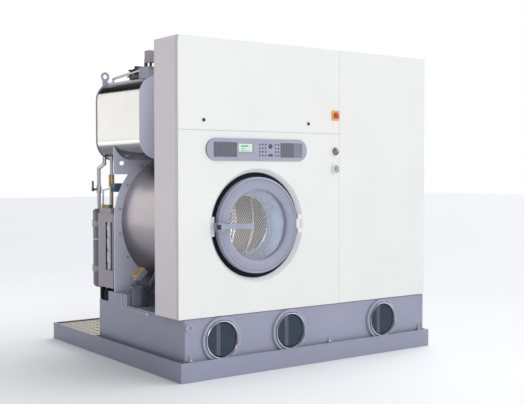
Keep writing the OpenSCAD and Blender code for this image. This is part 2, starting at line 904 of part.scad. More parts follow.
module dial_bezels() {
    ring_r = dial_d / 2;
    color([0.80, 0.80, 0.83]) {
        ring_y(dial_x, az + knob_up, ring_r, knob_d / 2 + 1, pan_y - 6, pan_y);
        difference() {
            rod_y(dial_x, az + gauge_up, ring_r, pan_y - 10, pan_y);
            rod_y(dial_x, az + gauge_up, ring_r - 4, pan_y - 10 - cut, pan_y - 4);
        }
        rod_y(dial_x, az + gauge_up, 2, pan_y - 6.5, pan_y - 4 + film);
    }
}

module selector_knob() {
    r = knob_d / 2;
    color([0.10, 0.10, 0.12]) {
        turned_y(dial_x, az + knob_up, pan_y)
            polygon(concat([[0, -play], [r, -play]],
                [for (a = [0 : 15 : 90]) [r * cos(a), -7 - 15 * sin(a)]]));
        rod_y(dial_x, az + knob_up, 6, pan_y - cut, pan_y + 18);
    }
}

module gauge_needle() {
    z = az + gauge_up;
    y = pan_y - 8.5;
    color([0.15, 0.15, 0.18])
        difference() {
            union() {
                rod_y(dial_x, z, 5, y, y + 3);
                block(dial_x - 1.5, dial_x + 1.5, y, y + 1.5, z - 8, z + 22);
            }
            rod_y(dial_x, z, 2 + running, y + 1.5, y + 3 + cut);
        }
}

// ---- door ----

module door_ring() {
    view_r = door_view_d / 2;
    glass_r = door_glass_d / 2 + play;
    clamp_r = glass_r + 26;
    front = -door_proud;
    back = door_back - pan_y;
    seat = glass_seat - pan_y;
    ear_z0 = handle_h / 2 + play;
    color([0.58, 0.60, 0.70])
        difference() {
            union() {
                turned_y(ax, az, pan_y)
                    polygon([
                        [door_r, back],
                        [door_r, 1],
                        [door_r - 7, front],
                        [view_r + 8, front],
                        [view_r, front + 8],
                        [view_r, seat - door_glass_t],
                        [glass_r, seat - door_glass_t],
                        [glass_r, seat],
                        [clamp_r, seat],
                        [clamp_r, back]
                    ]);
                rod_z(hinge_x, hinge_y, hinge_r, az - 29.5, az + 29.5);
                block(ax + door_r - 8, hinge_x, hinge_y - 8, hinge_y + 8, az - 29.5, az + 29.5);
                for (side = [-1, 1])
                    translate([0, 0, az + side * (ear_z0 + 4)])
                        block(handle_pivot_x - 16, handle_pivot_x + 24,
                            pan_y - handle_reach, pan_y - 4, -4, 4);
                block(handle_pivot_x - 16, handle_pivot_x + 24, pan_y - 16, pan_y - 4,
                    az - ear_z0 - 8, az + ear_z0 + 8);
                block(ax - door_r + 2, handle_pivot_x + 24, pan_y - 5, pan_y + 10, az - 20, az + 20);
                rod_z(handle_pivot_x, handle_y, pin_r, az - ear_z0 - 2, az + ear_z0 + 2);
            }
            rod_z(hinge_x, hinge_y, pin_r + running, az - 30 - cut, az + 30 + cut);
        }
}

module door_glass() {
    color([0.60, 0.66, 0.74, 0.4])
        rod_y(ax, az, door_glass_d / 2, glass_seat - door_glass_t, glass_seat);
}

module clamp_ring() {
    color([0.45, 0.47, 0.55])
        ring_y(ax, az, door_glass_d / 2 + 26, door_view_d / 2, glass_seat, door_back);
}

module door_handle() {
    x0 = handle_pivot_x - 14;
    color([0.62, 0.64, 0.73])
        difference() {
            block(x0, x0 + handle_l, handle_y - handle_t / 2, handle_y + handle_t / 2,
                az - handle_h / 2, az + handle_h / 2);
            rod_z(handle_pivot_x, handle_y, pin_r + running, az - handle_h, az + handle_h);
        }
}

module door_gasket() {
    color([0.12, 0.12, 0.14])
        ring_y(ax, az, recess_in_r - 2, door_r - 6, gasket_y, gasket_y + gasket_t);
}

module door_fittings() {
    keeper_x1 = ax - door_r - 20;
    color([0.60, 0.61, 0.68]) {
        difference() {
            union() {
                for (side = [-1, 1]) {
                    translate([0, 0, az + side * 45]) {
                        rod_z(hinge_x, hinge_y, hinge_r, -15, 15);
                        block(hinge_x, hinge_x + 40, hinge_y - 5, hinge_y + 14, -15, 15);
                    }
                }
                rod_z(hinge_x, hinge_y, pin_r, az - 59, az + 59);
            }
            recess_behind();
        }
        difference() {
            block(keeper_x1 - 30, keeper_x1, pan_y + 6, pan_y + recess_depth, az - 61, az + 61);
            recess_behind();
        }
    }
}

// ---- drum ----

module loading_neck() {
    mouth_r = neck_d / 2;
    end_r = neck_end_d / 2;
    wall = 3;
    length = drum_y0 - neck_y;
    color([0.62, 0.66, 0.74])
        turned_y(ax, az, neck_y)
            polygon([
                [mouth_r, 0],
                [recess_in_r + 10, 0],
                [recess_in_r + 10, neck_flange_t],
                [mouth_r + wall, neck_flange_t],
                [end_r + wall, length],
                [end_r, length]
            ]);
}

module drum_housing() {
    duct_t = 4;
    color([0.70, 0.69, 0.71])
        difference() {
            union() {
                rod_y(ax, az, drum_r, drum_y0, plate_y1);
                intersection() {
                    block(duct_x0, duct_x1, duct_y0, duct_y1, az, box_z1);
                    rod_y(ax, az, plate_r, duct_y0 - cut, duct_y1 + cut);
                }
            }
            rod_y(ax, az, neck_end_d / 2, drum_y0 - cut, drum_y0 + drum_front_t + cut);
            rod_y(ax, az, drum_r - drum_wall, drum_y0 + drum_front_t, plate_y1 + cut);
            block(duct_x0 + duct_t, duct_x1 - duct_t, duct_y0 + duct_t, duct_y1 - duct_t, az, box_z1);
            bar(chute_top + [20, 0, 20], chute_end, chute_r - pot_wall);
        }
}

module plate_outline() {
    gusset_x1 = ax - plate_r + 330;
    foot_w = 600 - 2 * play;
    difference() {
        union() {
            translate([ax, az])
                circle(plate_r);
            translate([ax - plate_r, saddle_z])
                square([2 * plate_r, az - saddle_z]);
            translate([ax - foot_w / 2, tank_z1])
                square([foot_w, az - tank_z1]);
            polygon([
                [ax - plate_r, az + 322],
                [ax - plate_r, box_z0 + 85],
                [gusset_x1, box_z0 + 85],
                [gusset_x1, az + 322]
            ]);
        }
        translate([ax, az])
            circle(drum_r + play);
        box_outline(play);
        translate([ax - plate_r + 60, az + 400])
            circle(18);
    }
}

module frame_plate() {
    color([0.66, 0.69, 0.80])
        slab_y(plate_y0, plate_y1)
            plate_outline();
}

module rear_wall() {
    color([0.60, 0.62, 0.70])
        ring_y(ax, az, drum_r + 43, shaft_r + 1, plate_y1, wall_y1);
}

module cage_shell() {
    color([0.72, 0.70, 0.68]) {
        difference() {
            rod_y(ax, az, cage_r, cage_y0, cage_y1);
            rod_y(ax, az, cage_r - cage_wall, cage_y0 + 4, cage_y1 - hub_t);
            rod_y(ax, az, mouth_d / 2, cage_y0 - cut, cage_y0 + 4 + cut);
        }
        for (a = [90, 210, 330])
            intersection() {
                rod_y(ax, az, cage_r - cage_wall + film, cage_y0 + 4 - film, cage_y1 - hub_t + film);
                translate([ax, 0, az])
                    rotate([0, a, 0])
                        slab_y(cage_y0 + 4 - film, cage_y1 - hub_t + film)
                            polygon([[cage_r, -50], [cage_r - cage_wall - lifter_h, -12],
                                [cage_r - cage_wall - lifter_h, 12], [cage_r, 50]]);
            }
    }
}

module drum_shaft() {
    color([0.62, 0.62, 0.64]) {
        rod_y(ax, az, 110, cage_y1, cage_y1 + 15);
        rod_y(ax, az, shaft_r, cage_y1 + 15 - cut, pulley_y1 + 18);
    }
}

module bearing_housing() {
    color([0.40, 0.42, 0.48]) {
        difference() {
            union() {
                rod_y(ax, az, 160, wall_y1, wall_y1 + 18);
                rod_y(ax, az, 100, wall_y1, bearing_y1);
            }
            rod_y(ax, az, bearing_r, wall_y1 - cut, bearing_y1 + cut);
        }
        for (y = [wall_y1 + 10, bearing_y1 - 35])
            ring_y(ax, az, bearing_r - 0.1, shaft_r + running, y, y + 25);
    }
}

module cage_pulley() {
    web = 12;
    web_y = (pulley_y0 + pulley_y1 - web) / 2;
    color([0.30, 0.31, 0.34])
        difference() {
            union() {
                ring_y(ax, az, pulley_r, pulley_r - 18, pulley_y0, pulley_y1);
                rod_y(ax, az, pulley_r - 10, web_y, web_y + web);
                rod_y(ax, az, shaft_r + 25, pulley_y0, pulley_y1);
            }
            rod_y(ax, az, shaft_r + 0.1, pulley_y0 - cut, pulley_y1 + cut);
            for (a = [0 : 60 : 300])
                translate([ax + (pulley_r + shaft_r) / 2 * cos(a), web_y - cut,
                    az + (pulley_r + shaft_r) / 2 * sin(a)])
                    rotate([-90, 0, 0])
                        cylinder(r = (pulley_r - shaft_r) / 4.6, h = web + 2 * cut);
        }
}

// Outline round both pulleys, with straight runs that touch both circles
module belt_outline(grow) {
    d = norm([motor_x - ax, motor_z - az]);
    turn = atan2(motor_z - az, motor_x - ax);
    lean = acos((pulley_r - motor_pulley_r) / d);
    big = pulley_r + grow;
    small = motor_pulley_r + grow;
    translate([ax, az])
        circle(big);
    translate([motor_x, motor_z])
        circle(small);
    polygon([
        [ax + big * cos(turn + lean), az + big * sin(turn + lean)],
        [motor_x + small * cos(turn + lean), motor_z + small * sin(turn + lean)],
        [motor_x + small * cos(turn - lean), motor_z + small * sin(turn - lean)],
        [ax + big * cos(turn - lean), az + big * sin(turn - lean)]
    ]);
}

module drive_belt() {
    color([0.08, 0.08, 0.09])
        slab_y(pulley_y0 + 6, pulley_y1 - 6)
            difference() {
                belt_outline(belt_t + play);
                belt_outline(play);
            }
}

motor_y0 = plate_y0 - 150;
motor_y1 = pulley_y0 - 42;
motor_shaft_r = 14;

module drive_motor() {
    foot = 60;
    color([0.24, 0.30, 0.36])
        difference() {
            union() {
                rod_y(motor_x, motor_z, motor_r, motor_y0, motor_y1);
                rod_y(motor_x, motor_z, motor_r - 8, motor_y0 - 30, motor_y0 + cut);
                block(motor_x - foot, motor_x + foot, motor_y0 + 40, motor_y1 - 40, tank_z1, motor_z);
                block(motor_x + motor_r - 30, motor_x + motor_r + 40, motor_y0 + 80, motor_y0 + 180,
                    motor_z - 35, motor_z + 35);
            }
            rod_y(motor_x, motor_z, motor_shaft_r + running, motor_y1 - 60, motor_y1 + cut);
        }
}

module motor_pulley() {
    color([0.35, 0.36, 0.38]) {
        rod_y(motor_x, motor_z, motor_pulley_r, pulley_y0, pulley_y1);
        rod_y(motor_x, motor_z, motor_shaft_r, motor_y1 - 58, pulley_y0 + cut);
    }
}

// ---- air box ----

module air_box() {
    eye_x = box_x0 + 68;
    eye_z = box_z1 + 40;
    cap = rim_t;
    collar_x0 = box_x0 + 70;
    collar_x1 = box_x1 - 150;
    collar_y1 = box_y0 + 130;
    vent_x = box_x1 - 120;
    vent_z = box_z1 - 120;
    color([0.72, 0.72, 0.74]) {
        difference() {
            union() {
                slab_y(box_y0, box_y1)
                    box_outline(0);
                slab_y(box_y1 - rim_t, box_y1)
                    union() {
                        difference() {
                            rounded(box_x0 - 5, box_x1 + 5, box_z0 - 5, box_z1 + 5, box_r + 5);
                            translate([ax, az])
                                circle(plate_r + play);
                        }
                        translate([eye_x, eye_z])
                            circle(eye_r);
                        translate([eye_x - 20, eye_z - 70])
                            square([40, 70]);
                    }
                block(collar_x0, collar_x1, box_y0, collar_y1, box_z1 - 20, box_z1 + collar_h);
            }
            slab_y(box_y0 - cut, box_y1 - box_wall)
                box_outline(-box_wall);
            block(collar_x0 + box_wall, collar_x1 - box_wall, box_y0 + box_wall, collar_y1 - box_wall,
                box_z1 - 20 - cut, box_z1 + collar_h - box_wall);
            block(duct_x0 + 4, duct_x1 - 4, duct_y0 + 4, duct_y1 - 4, az, az + plate_r + 60);
            rod_y(eye_x, eye_z, eye_hole, box_y1 - rim_t - cut, box_y1 + cut);
            rod_y(fan_x, fan_z, fan_shaft_r + 1, box_y1 - box_wall - cut, box_y1 + cut);
            rod_y(vent_x, vent_z, vent_r - 2, box_y1 - box_wall - cut, box_y1 + cut);
        }
        slab_y(box_y0 - cap - film, box_y0 - film)
            box_outline(0);
        difference() {
            rod_y(vent_x, vent_z, vent_r, box_y1 + film, box_y1 + vent_l);
            rod_y(vent_x, vent_z, vent_r - 2, box_y1 - cut, box_y1 + vent_l + cut);
        }
    }
}

module fan_motor() {
    color([0.24, 0.30, 0.36])
        difference() {
            union() {
                rod_y(fan_x, fan_z, fan_motor_r + 25, box_y1, box_y1 + 12);
                rod_y(fan_x, fan_z, fan_motor_r, box_y1, box_y1 + 190);
                block(fan_x - 45, fan_x + 45, box_y1 + 60, box_y1 + 150, fan_z, fan_z + fan_motor_r + 35);
            }
            rod_y(fan_x, fan_z, fan_shaft_r + running, box_y1 - cut, box_y1 + 80);
        }
}

module fan_impeller() {
    back = box_y1 - box_wall - 14;
    depth = 70;
    color([0.60, 0.61, 0.64]) {
        rod_y(fan_x, fan_z, fan_r, back - 4, back);
        rod_y(fan_x, fan_z, 40, back - 40, back);
        rod_y(fan_x, fan_z, fan_shaft_r, back - cut, box_y1 + 78);
        ring_y(fan_x, fan_z, fan_r, fan_r * 0.6, back - depth, back - depth + 3);
        for (a = [0 : 36 : 324])
            translate([fan_x, 0, fan_z])
                rotate([0, a, 0])
                    block(fan_r * 0.62, fan_r - 2, back - depth + cut, back - 4 + cut, -2, 2);
    }
}

module air_coils() {
    x0 = box_x0 + box_wall;
    x1 = box_x1 - box_wall;
    z0 = box_z0 + box_r + 15;
    z1 = box_z1 - box_r - 15;
    fin_step = 32;
    fins = floor((x1 - x0 - 20) / fin_step);
    color([0.75, 0.50, 0.35])
        for (y = [box_y0 + 160, box_y0 + 330])
            union() {
                for (x = [x0, x1 - 4])
                    block(x, x + 4, y, y + 90, z0, z1);
                for (i = [1 : fins - 1])
                    block(x0 + i * fin_step, x0 + i * fin_step + 1.5, y + 5, y + 85, z0, z1);
                for (z = [z0 + 35 : 45 : z1 - 20])
                    rod_x(y + 45, z, 9, x0 + cut, x1 - cut);
            }
}

// ---- left side ----

switch_y0 = plate_y0 - 97;
switch_y1 = plate_y0 - 19;
switch_in = drum_r + 1.5;
switch_out = switch_in + 88;
switch_half = 21;

module interlock_switch() {
    color([0.92, 0.77, 0.36])
        translate([ax, 0, az])
            rotate([0, -45, 0]) {
                block(-switch_out, -switch_in, switch_y0, switch_y1, -switch_half, switch_half);
                block(-switch_in - 50, -switch_in - 10, switch_y1 - cut, plate_y0, -12, 12);
                for (y = [switch_y0 + 26, switch_y0 + 52])
                    translate([-switch_out - 12, y, 0])
                        rotate([0, 90, 0])
                            cylinder(r = 8, h = 13);
            }
}

// Point at u on a smooth curve through the points p
function smooth(p, u) =
    let (i = min(floor(u), len(p) - 2), t = u - i)
    let (a = p[max(i - 1, 0)], b = p[i], c = p[i + 1], d = p[min(i + 2, len(p) - 1)])
    0.5 * (2 * b + (c - a) * t + (2 * a - 5 * b + 4 * c - d) * t * t
        + (3 * b - a - 3 * c + d) * t * t * t);
function unit(v) = v / norm(v);

// Round lead swept along the points as one closed skin
module lead(points, r, rings) {
    sides = 8;
    path = [for (i = [0 : rings]) smooth(points, i / rings * (len(points) - 1))];
    skin = [for (i = [0 : rings])
        let (t = unit(path[min(i + 1, rings)] - path[max(i - 1, 0)]))
        let (n = unit(cross(t, [0, 1, 0])), b = cross(t, n))
        for (k = [0 : sides - 1])
            path[i] + r * (n * cos(360 * k / sides) + b * sin(360 * k / sides))];
    side_faces = [for (i = [0 : rings - 1], k = [0 : sides - 1])
        let (a = i * sides + k, b = i * sides + (k + 1) % sides)
        for (f = [[a, b, b + sides], [a, b + sides, a + sides]]) f];
    ends = [
        [for (k = [sides - 1 : -1 : 0]) k],
        [for (k = [0 : sides - 1]) rings * sides + k]
    ];
    polyhedron(points = skin, faces = [for (f = concat(side_faces, ends)) [f[2], f[1], f[0],
        for (k = [len(f) - 1 : -1 : 3]) f[k]]], convexity = 4);
}

module interlock_leads() {
    out = switch_out + 12 + play;
    start = [ax - out * cos(45), switch_y0 + 26, az - out * sin(45)];
    drop = start[2] - lead_z;
    fall = [for (p = lead_fall) [p[0], p[1], p[2] * drop]];
    color([0.80, 0.80, 0.84]) {
        lead(concat([for (p = fall) start + p], lead_on), lead_d / 2, 78);
        block(tank_x0 - 14, tank_x0, plate_y0 - 506, plate_y0 - 486, tank_z1 - 30, tank_z1 - 10);
        translate(start + [0, 26, 0])
            lead(concat(fall, [[-57, -25, play - lead_d / 2 - drop]]), lead_d / 2, 24);
    }
}

module button_trap() {
    inner = pot_r - pot_wall;
    color([0.60, 0.61, 0.68])
        difference() {
            union() {
                bar(chute_top, chute_end, chute_r);
                rod_z(pot_x, pot_y, pot_r, tank_z1, pot_z1);
                for (z = [tank_z1, pot_z1 - 8])
                    rod_z(pot_x, pot_y, pot_r + 10, z, z + 8);
                for (x = [pot_x - 19, pot_x + 12]) {
                    block(x, x + 7, pot_pin_y - 6, pot_y - pot_r + 5, pot_z1 - 8, pot_z1);
                    block(x, x + 7, pot_pin_y - 6, pot_pin_y + 6, pot_z1 - 8, pot_lid_z + 8);
                }
                rod_x(pot_pin_y, pot_lid_z + 4, 3, pot_x - 19, pot_x + 19);
            }
            bar(chute_top, chute_end, chute_r - pot_wall);
            rod_y(ax, az, drum_r + play, pot_y - 2 * pot_r, pot_y + 2 * pot_r);
            rod_z(pot_x, pot_y, inner, tank_z1 + pot_wall, pot_z1 + cut);
        }
}

module trap_cover() {
    axis_z = pot_lid_z + 4;
    color([0.58, 0.60, 0.70])
        difference() {
            union() {
                rod_z(pot_x, pot_y, pot_r + 8, pot_lid_z, pot_lid_z + 8);
                rod_x(pot_pin_y, axis_z, 6, pot_x - 11.5, pot_x + 11.5);
                block(pot_x - 11.5, pot_x + 11.5, pot_pin_y, pot_y - pot_r, pot_lid_z, pot_lid_z + 8);
                rod_z(pot_x, pot_y + 30, 5, pot_lid_z + 7, pot_lid_z + 20);
                rod_z(pot_x, pot_y + 30, 10, pot_lid_z + 19, pot_lid_z + 28);
            }
            rod_x(pot_pin_y, axis_z, 3 + running, pot_x - 12, pot_x + 12);
        }
}

module cooler_vessel() {
    tube_x = cooler_x0 + 55;
    tube_y = window_y0 + window_w / 2;
    color([0.42, 0.43, 0.48]) {
        translate([vessel_x, vessel_y, 0])
            vessel(vessel_r, vessel_z0, vessel_z1, 25, 4, -42, pipe_r - 3);
        difference() {
            rod_z(tube_x, tube_y, 38, cooler_z0 + cooler_wall, cooler_z1 - cooler_wall);
            rod_z(tube_x, tube_y, 34, cooler_z0, cooler_z1);
        }
    }
}

module cooler_frame() {
    w = cooler_wall;
    color([0.55, 0.55, 0.60]) {
        difference() {
            block(cooler_x0, cooler_x1, cooler_y0, cooler_y1, cooler_z0, cooler_z1);
            block(cooler_x0 + w, cooler_x1 - w, cooler_y0 + w, cooler_y1 - w, cooler_z0 + w, cooler_z1 - w);
            block(cooler_x0 - cut, cooler_x0 + w + cut, window_y0, window_y0 + window_w,
                window_z0, window_z0 + window_h);
        }
        for (x = [cooler_x0, cooler_x1 - 30], y = [cooler_y0 + saddle_back, min(cooler_y1, tank_y1) - 30])
            block(x, x + 30, y, y + 30, tank_z1, cooler_z0 + cut);
        for (z = [cooler_z0 + 96, cooler_z0 + 416])
            difference() {
                translate([vessel_x, vessel_y, z])
                    cylinder(r = vessel_r + 6, h = 40);
                translate([vessel_x, vessel_y, z - cut])
                    cylinder(r = vessel_r + play, h = 40 + 2 * cut);
            }
    }
}

module solvent_pump() {
    y1 = pump_y0 + 160;
    color([0.12, 0.12, 0.14]) {
        rod_y(pump_x, pump_z, pump_r, pump_y0, y1);
        block(pump_x - 28, pump_x + 28, pump_y0 + 10, pump_y0 + 110, tank_z1, pump_z);
        rod_y(pump_x, pump_z, 14, y1 - cut, y1 + 30);
    }
}

pipe_a = [vessel_x - 42, vessel_y];
pipe_b = [cooler_x0 + 55, cooler_y0 + 124];
u_x = cooler_x0 + 22;
u_y0 = cooler_y0 + 78;
u_y1 = cooler_y0 + 190;
stack_z1 = cooler_z1 + 60;
knob_z = cooler_z1 + 164;

// Height of the air box's underside, and of its top, on its left corner at x
function box_under(x) = box_z0 + box_r - sqrt(box_r * box_r - pow(max(box_x0 + box_r - x, 0), 2));
function box_over(x) = box_z0 + box_z1 - box_under(x);

module pipework() {
    a_top = box_under(pipe_a[0] + pipe_r) - film;
    b_top = box_under(pipe_b[0] + pipe_r - 2) - film;
    top_x = box_x0 + 105;
    top_z0 = box_over(top_x + tube_r + 2) + film;
    line_z = max(still_z1, tank_z0 + filter_h) + 80;
    color([0.62, 0.63, 0.68]) {
        pipe([
            [pipe_a[0], pipe_a[1], vessel_z1 + film],
            [pipe_a[0], pipe_a[1], a_top - 80],
            [pipe_a[0], box_y1 - 25, a_top - 45],
            [pipe_a[0], box_y1 - 25, a_top]
        ], pipe_r);
        pipe([[pipe_b[0], pipe_b[1], knob_z + 106], [pipe_b[0], pipe_b[1], b_top]], pipe_r - 2);
        pipe([
            [u_x, u_y1, stack_z1 + film],
            [u_x, u_y1, stack_z1 + 100],
            [u_x, u_y0, stack_z1 + 112],
            [u_x, u_y0, stack_z1 + film]
        ], tube_r);
        pipe([
            [still_x, still_y, still_z1 + film],
            [still_x, still_y, line_z],
            [filter_x, filter_y, line_z],
            [filter_x, filter_y, tank_z0 + filter_h + film]
        ], line_r);
        pipe([
            [top_x, box_y1 - 60, top_z0],
            [top_x, box_y1 - 60, box_z1 + 22],
            [top_x, box_y0 + 135 + tube_r, box_z1 + 50],
            [top_x, box_y0 + 135 + tube_r, top_z0]
        ], tube_r + 2);
    }
}

module valve_bodies() {
    top_x = box_x0 + 105;
    color([0.60, 0.58, 0.52]) {
        block(cooler_x0 + 5, cooler_x0 + 85, cooler_y0 + 40, cooler_y0 + 210, cooler_z1, stack_z1 - 25);
        for (i = [0 : 3])
            rod_z(u_x, u_y0 + i * (u_y1 - u_y0) / 3, 12, stack_z1 - 25 - cut, stack_z1);
        rod_z(pipe_b[0], pipe_b[1], 20, knob_z + 20, knob_z + 106 - film);
        rod_z(pipe_b[0], pipe_b[1], 12, stack_z1 - 25 - cut, knob_z + 20 + cut);
        block(pipe_b[0] - 20, pipe_b[0] + 40, pipe_b[1] - 90, pipe_b[1] - 26, knob_z - 15, knob_z + 45);
        rod_y(pipe_b[0], knob_z + 33, 9, pipe_b[1] - 27, pipe_b[1]);
        difference() {
            rod_z(pipe_a[0], pipe_a[1], 19, knob_z - 25, knob_z + 25);
            rod_z(pipe_a[0], pipe_a[1], pipe_r + play, knob_z - 26, knob_z + 26);
        }
        difference() {
            rod_x(pipe_a[1], knob_z, 9, pipe_a[0] - 34, pipe_a[0] - 15);
            rod_x(pipe_a[1], knob_z, 5 + running, pipe_a[0] - 35, pipe_a[0] - 22);
        }
        translate([top_x + 60, 0, 0]) {
            block(-60, 60, box_y0 + 180, box_y0 + 330, box_z1 + film, box_z1 + 20);
            rod_z(-20, box_y0 + 300, 16, box_z1 + 19, box_z1 + 88);
            rod_x(box_y0 + 240, box_z1 + 48, 34, -40, 40);
            rod_z(0, box_y0 + 205, 12, box_z1 + 19, box_z1 + 130);
        }
        rod_z(top_x, box_y0 + 30, 9, box_z1 + collar_h, box_z1 + collar_h + 30);
        block(top_x - 30, top_x + 30, box_y0, box_y0 + 60, box_z1 + collar_h + 29, box_z1 + collar_h + 105);
    }
}

module valve_lever() {
    x1 = pipe_a[0] - 22;
    color([0.10, 0.10, 0.12]) {
        rod_x(pipe_a[1], knob_z, 5, x1 - 22, x1 - 1);
        rod_x(pipe_a[1], knob_z, 14, x1 - 30, x1 - 21);
        block(x1 - 30, x1 - 22, pipe_a[1] - 8, pipe_a[1] + 8, knob_z, knob_z + 60);
    }
}

// ---- rear right ----

still_hinge_x = still_x + still_door_r + 48;
still_hinge_y = still_y + still_neck + 12;

module still_vessel() {
    color([0.58, 0.60, 0.66])
        difference() {
            union() {
                translate([still_x, still_y, 0])
                    capsule(still_r, still_z0, still_z1, 80);
                rod_y(still_x, still_door_z, still_door_r + 8, still_y, still_y + still_neck);
                rod_y(still_x, still_door_z, still_door_r + 30,
                    still_y + still_neck - 12, still_y + still_neck);
                for (a = [45 : 90 : 315])
                    rod_z(still_x + 150 * cos(a), still_y + 150 * sin(a), 22, tank_z0, still_z0 + 60);
                for (side = [-1, 1])
                    translate([0, 0, still_door_z + side * 32]) {
                        rod_z(still_hinge_x, still_hinge_y, 10, -11, 11);
                        block(still_x + still_door_r, still_hinge_x + 8, still_y + still_neck - 12,
                            still_y + still_neck, -11, 11);
                        block(still_hinge_x - 8, still_hinge_x + 8, still_y + still_neck - 1,
                            still_hinge_y, -11, 11);
                    }
                rod_z(still_hinge_x, still_hinge_y, pin_r, still_door_z - 42, still_door_z + 42);
            }
            translate([still_x, still_y, 0])
                capsule(still_r - still_wall, still_z0 + still_wall, still_z1 - still_wall, 80 - still_wall);
            rod_z(still_x, still_y, line_r - 3, still_z1 - still_wall - cut, still_z1 + cut);
            rod_y(still_x, still_door_z, still_door_r, still_y, still_y + still_neck + cut);
        }
}

module still_door() {
    y0 = still_y + still_neck + play;
    color([0.50, 0.52, 0.58])
        difference() {
            union() {
                rod_y(still_x, still_door_z, still_door_r + 26, y0, y0 + 16);
                rod_z(still_hinge_x, still_hinge_y, 10, still_door_z - 20.5, still_door_z + 20.5);
                block(still_x + still_door_r, still_hinge_x, y0 + 4, y0 + 16,
                    still_door_z - 20.5, still_door_z + 20.5);
                for (a = [45 : 90 : 315])
                    rod_y(still_x + 90 * cos(a), still_door_z + 90 * sin(a), 11, y0 + 15, y0 + 30);
            }
            rod_z(still_hinge_x, still_hinge_y, pin_r + running, still_door_z - 22, still_door_z + 22);
        }
}

module filter_vessel() {
    z0 = tank_z0;
    z1 = tank_z0 + filter_h;
    color([0.58, 0.60, 0.66])
        translate([filter_x, filter_y, 0]) {
            difference() {
                union() {
                    capsule(filter_r, z0 + 90, z1, 60);
                    for (z = [z0 + 260, z1 - 180])
                        rod_z(0, 0, filter_r + 22, z, z + 26);
                    for (a = [0 : 90 : 270])
                        rod_z((filter_r - 65) * cos(a), (filter_r - 65) * sin(a), 20, z0, z0 + 150);
                }
                capsule(filter_r - 5, z0 + 95, z1 - 5, 55);
                rod_z(0, 0, line_r - 3, z1 - 5 - cut, z1 + cut);
            }
        }
}

module switch_box() {
    w = 3;
    color([0.88, 0.88, 0.87]) {
        difference() {
            block(sb_x0, sb_x1, sb_y0, sb_y1, sb_z0, sb_z1);
            block(sb_x0 + w, sb_x1 - w, sb_y0 + w, sb_y1 + cut, sb_z0 + w, sb_z1 - w);
            for (x = [sb_x0 + 60, sb_x0 + 110])
                rod_z(x, (sb_y0 + sb_y1) / 2, 10.25, sb_z1 - w - cut, sb_z1 + cut);
        }
        block(sb_x0, sb_x1, sb_y1 + film, sb_y1 + film + w, sb_z0 + 1, sb_z1);
        block(sb_x0 + 20, sb_x0 + 40, sb_y1 + film + w - 1, sb_y1 + film + w + 12, sb_z0 + 600, sb_z0 + 720);
    }
}

drip_tray();
walkway_grating();
solvent_tank();
sight_flanges();
sight_glasses();
level_ladders();
hex_bolts();
cabinet_frame();
lower_left_panel();
right_panel();
side_panels();
recess_ring();
service_flap();
flap_fittings();
flap_lock_left();
flap_lock_right();
control_bezel();
membrane_keys();
display_windows();
start_button();
stop_plate();
stop_button();
dial_bezels();
selector_knob();
gauge_needle();
door_ring();
door_glass();
clamp_ring();
door_handle();
door_gasket();
door_fittings();
loading_neck();
drum_housing();
frame_plate();
rear_wall();
cage_shell();
drum_shaft();
bearing_housing();
cage_pulley();
drive_belt();
drive_motor();
motor_pulley();
air_box();
fan_motor();
fan_impeller();
air_coils();
interlock_switch();
interlock_leads();
button_trap();
trap_cover();
cooler_vessel();
cooler_frame();
solvent_pump();
pipework();
valve_bodies();
valve_lever();
still_vessel();
still_door();
filter_vessel();
switch_box();
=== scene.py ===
import json
import math
import bpy
import bmesh
import numpy as np
from mathutils import Matrix, Vector
from mathutils.geometry import tessellate_polygon


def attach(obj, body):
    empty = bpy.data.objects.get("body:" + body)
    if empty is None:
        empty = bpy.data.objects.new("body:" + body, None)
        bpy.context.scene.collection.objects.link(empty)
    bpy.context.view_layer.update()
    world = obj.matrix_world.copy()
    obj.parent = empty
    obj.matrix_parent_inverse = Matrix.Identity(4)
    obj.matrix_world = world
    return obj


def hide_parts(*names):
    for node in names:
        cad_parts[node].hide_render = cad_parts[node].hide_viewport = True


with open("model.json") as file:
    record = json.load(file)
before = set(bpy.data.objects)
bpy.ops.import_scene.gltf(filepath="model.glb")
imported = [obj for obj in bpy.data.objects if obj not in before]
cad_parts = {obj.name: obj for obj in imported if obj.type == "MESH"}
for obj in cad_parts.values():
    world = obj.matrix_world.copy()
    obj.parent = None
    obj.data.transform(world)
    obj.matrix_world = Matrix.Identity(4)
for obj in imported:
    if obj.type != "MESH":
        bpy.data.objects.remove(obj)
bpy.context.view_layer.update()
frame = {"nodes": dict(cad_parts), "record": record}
print("frame loaded")

# the camera, at the photo's angle: metres for its place, degrees for its turns, millimetres for its lens
camera = {"place": (-3.807, -5.5975, 1.2555), "yaw": 35.8, "down": 1.8, "roll": -0.07, "lens": 62.608,
          "sensor": 36, "far": 100}


def makeCamera(v):
    yaw, down, roll = (math.radians(v[k]) for k in ("yaw", "down", "roll"))
    ahead = Vector((math.sin(yaw) * math.cos(down), math.cos(yaw) * math.cos(down), -math.sin(down)))
    side = Vector((math.cos(yaw), -math.sin(yaw), 0))
    top = side.cross(ahead)
    turnedSide = side * math.cos(roll) + top * math.sin(roll)
    turnedTop = top * math.cos(roll) - side * math.sin(roll)
    data = bpy.data.cameras.new("camera")
    data.sensor_width = v["sensor"]
    data.lens = v["lens"]
    data.clip_end = v["far"]
    cam = bpy.data.objects.new("camera", data)
    bpy.context.scene.collection.objects.link(cam)
    turn = Matrix((turnedSide, turnedTop, -ahead)).transposed().to_4x4()
    cam.matrix_world = Matrix.Translation(v["place"]) @ turn
    bpy.context.scene.camera = cam


makeCamera(camera)
print("camera made")

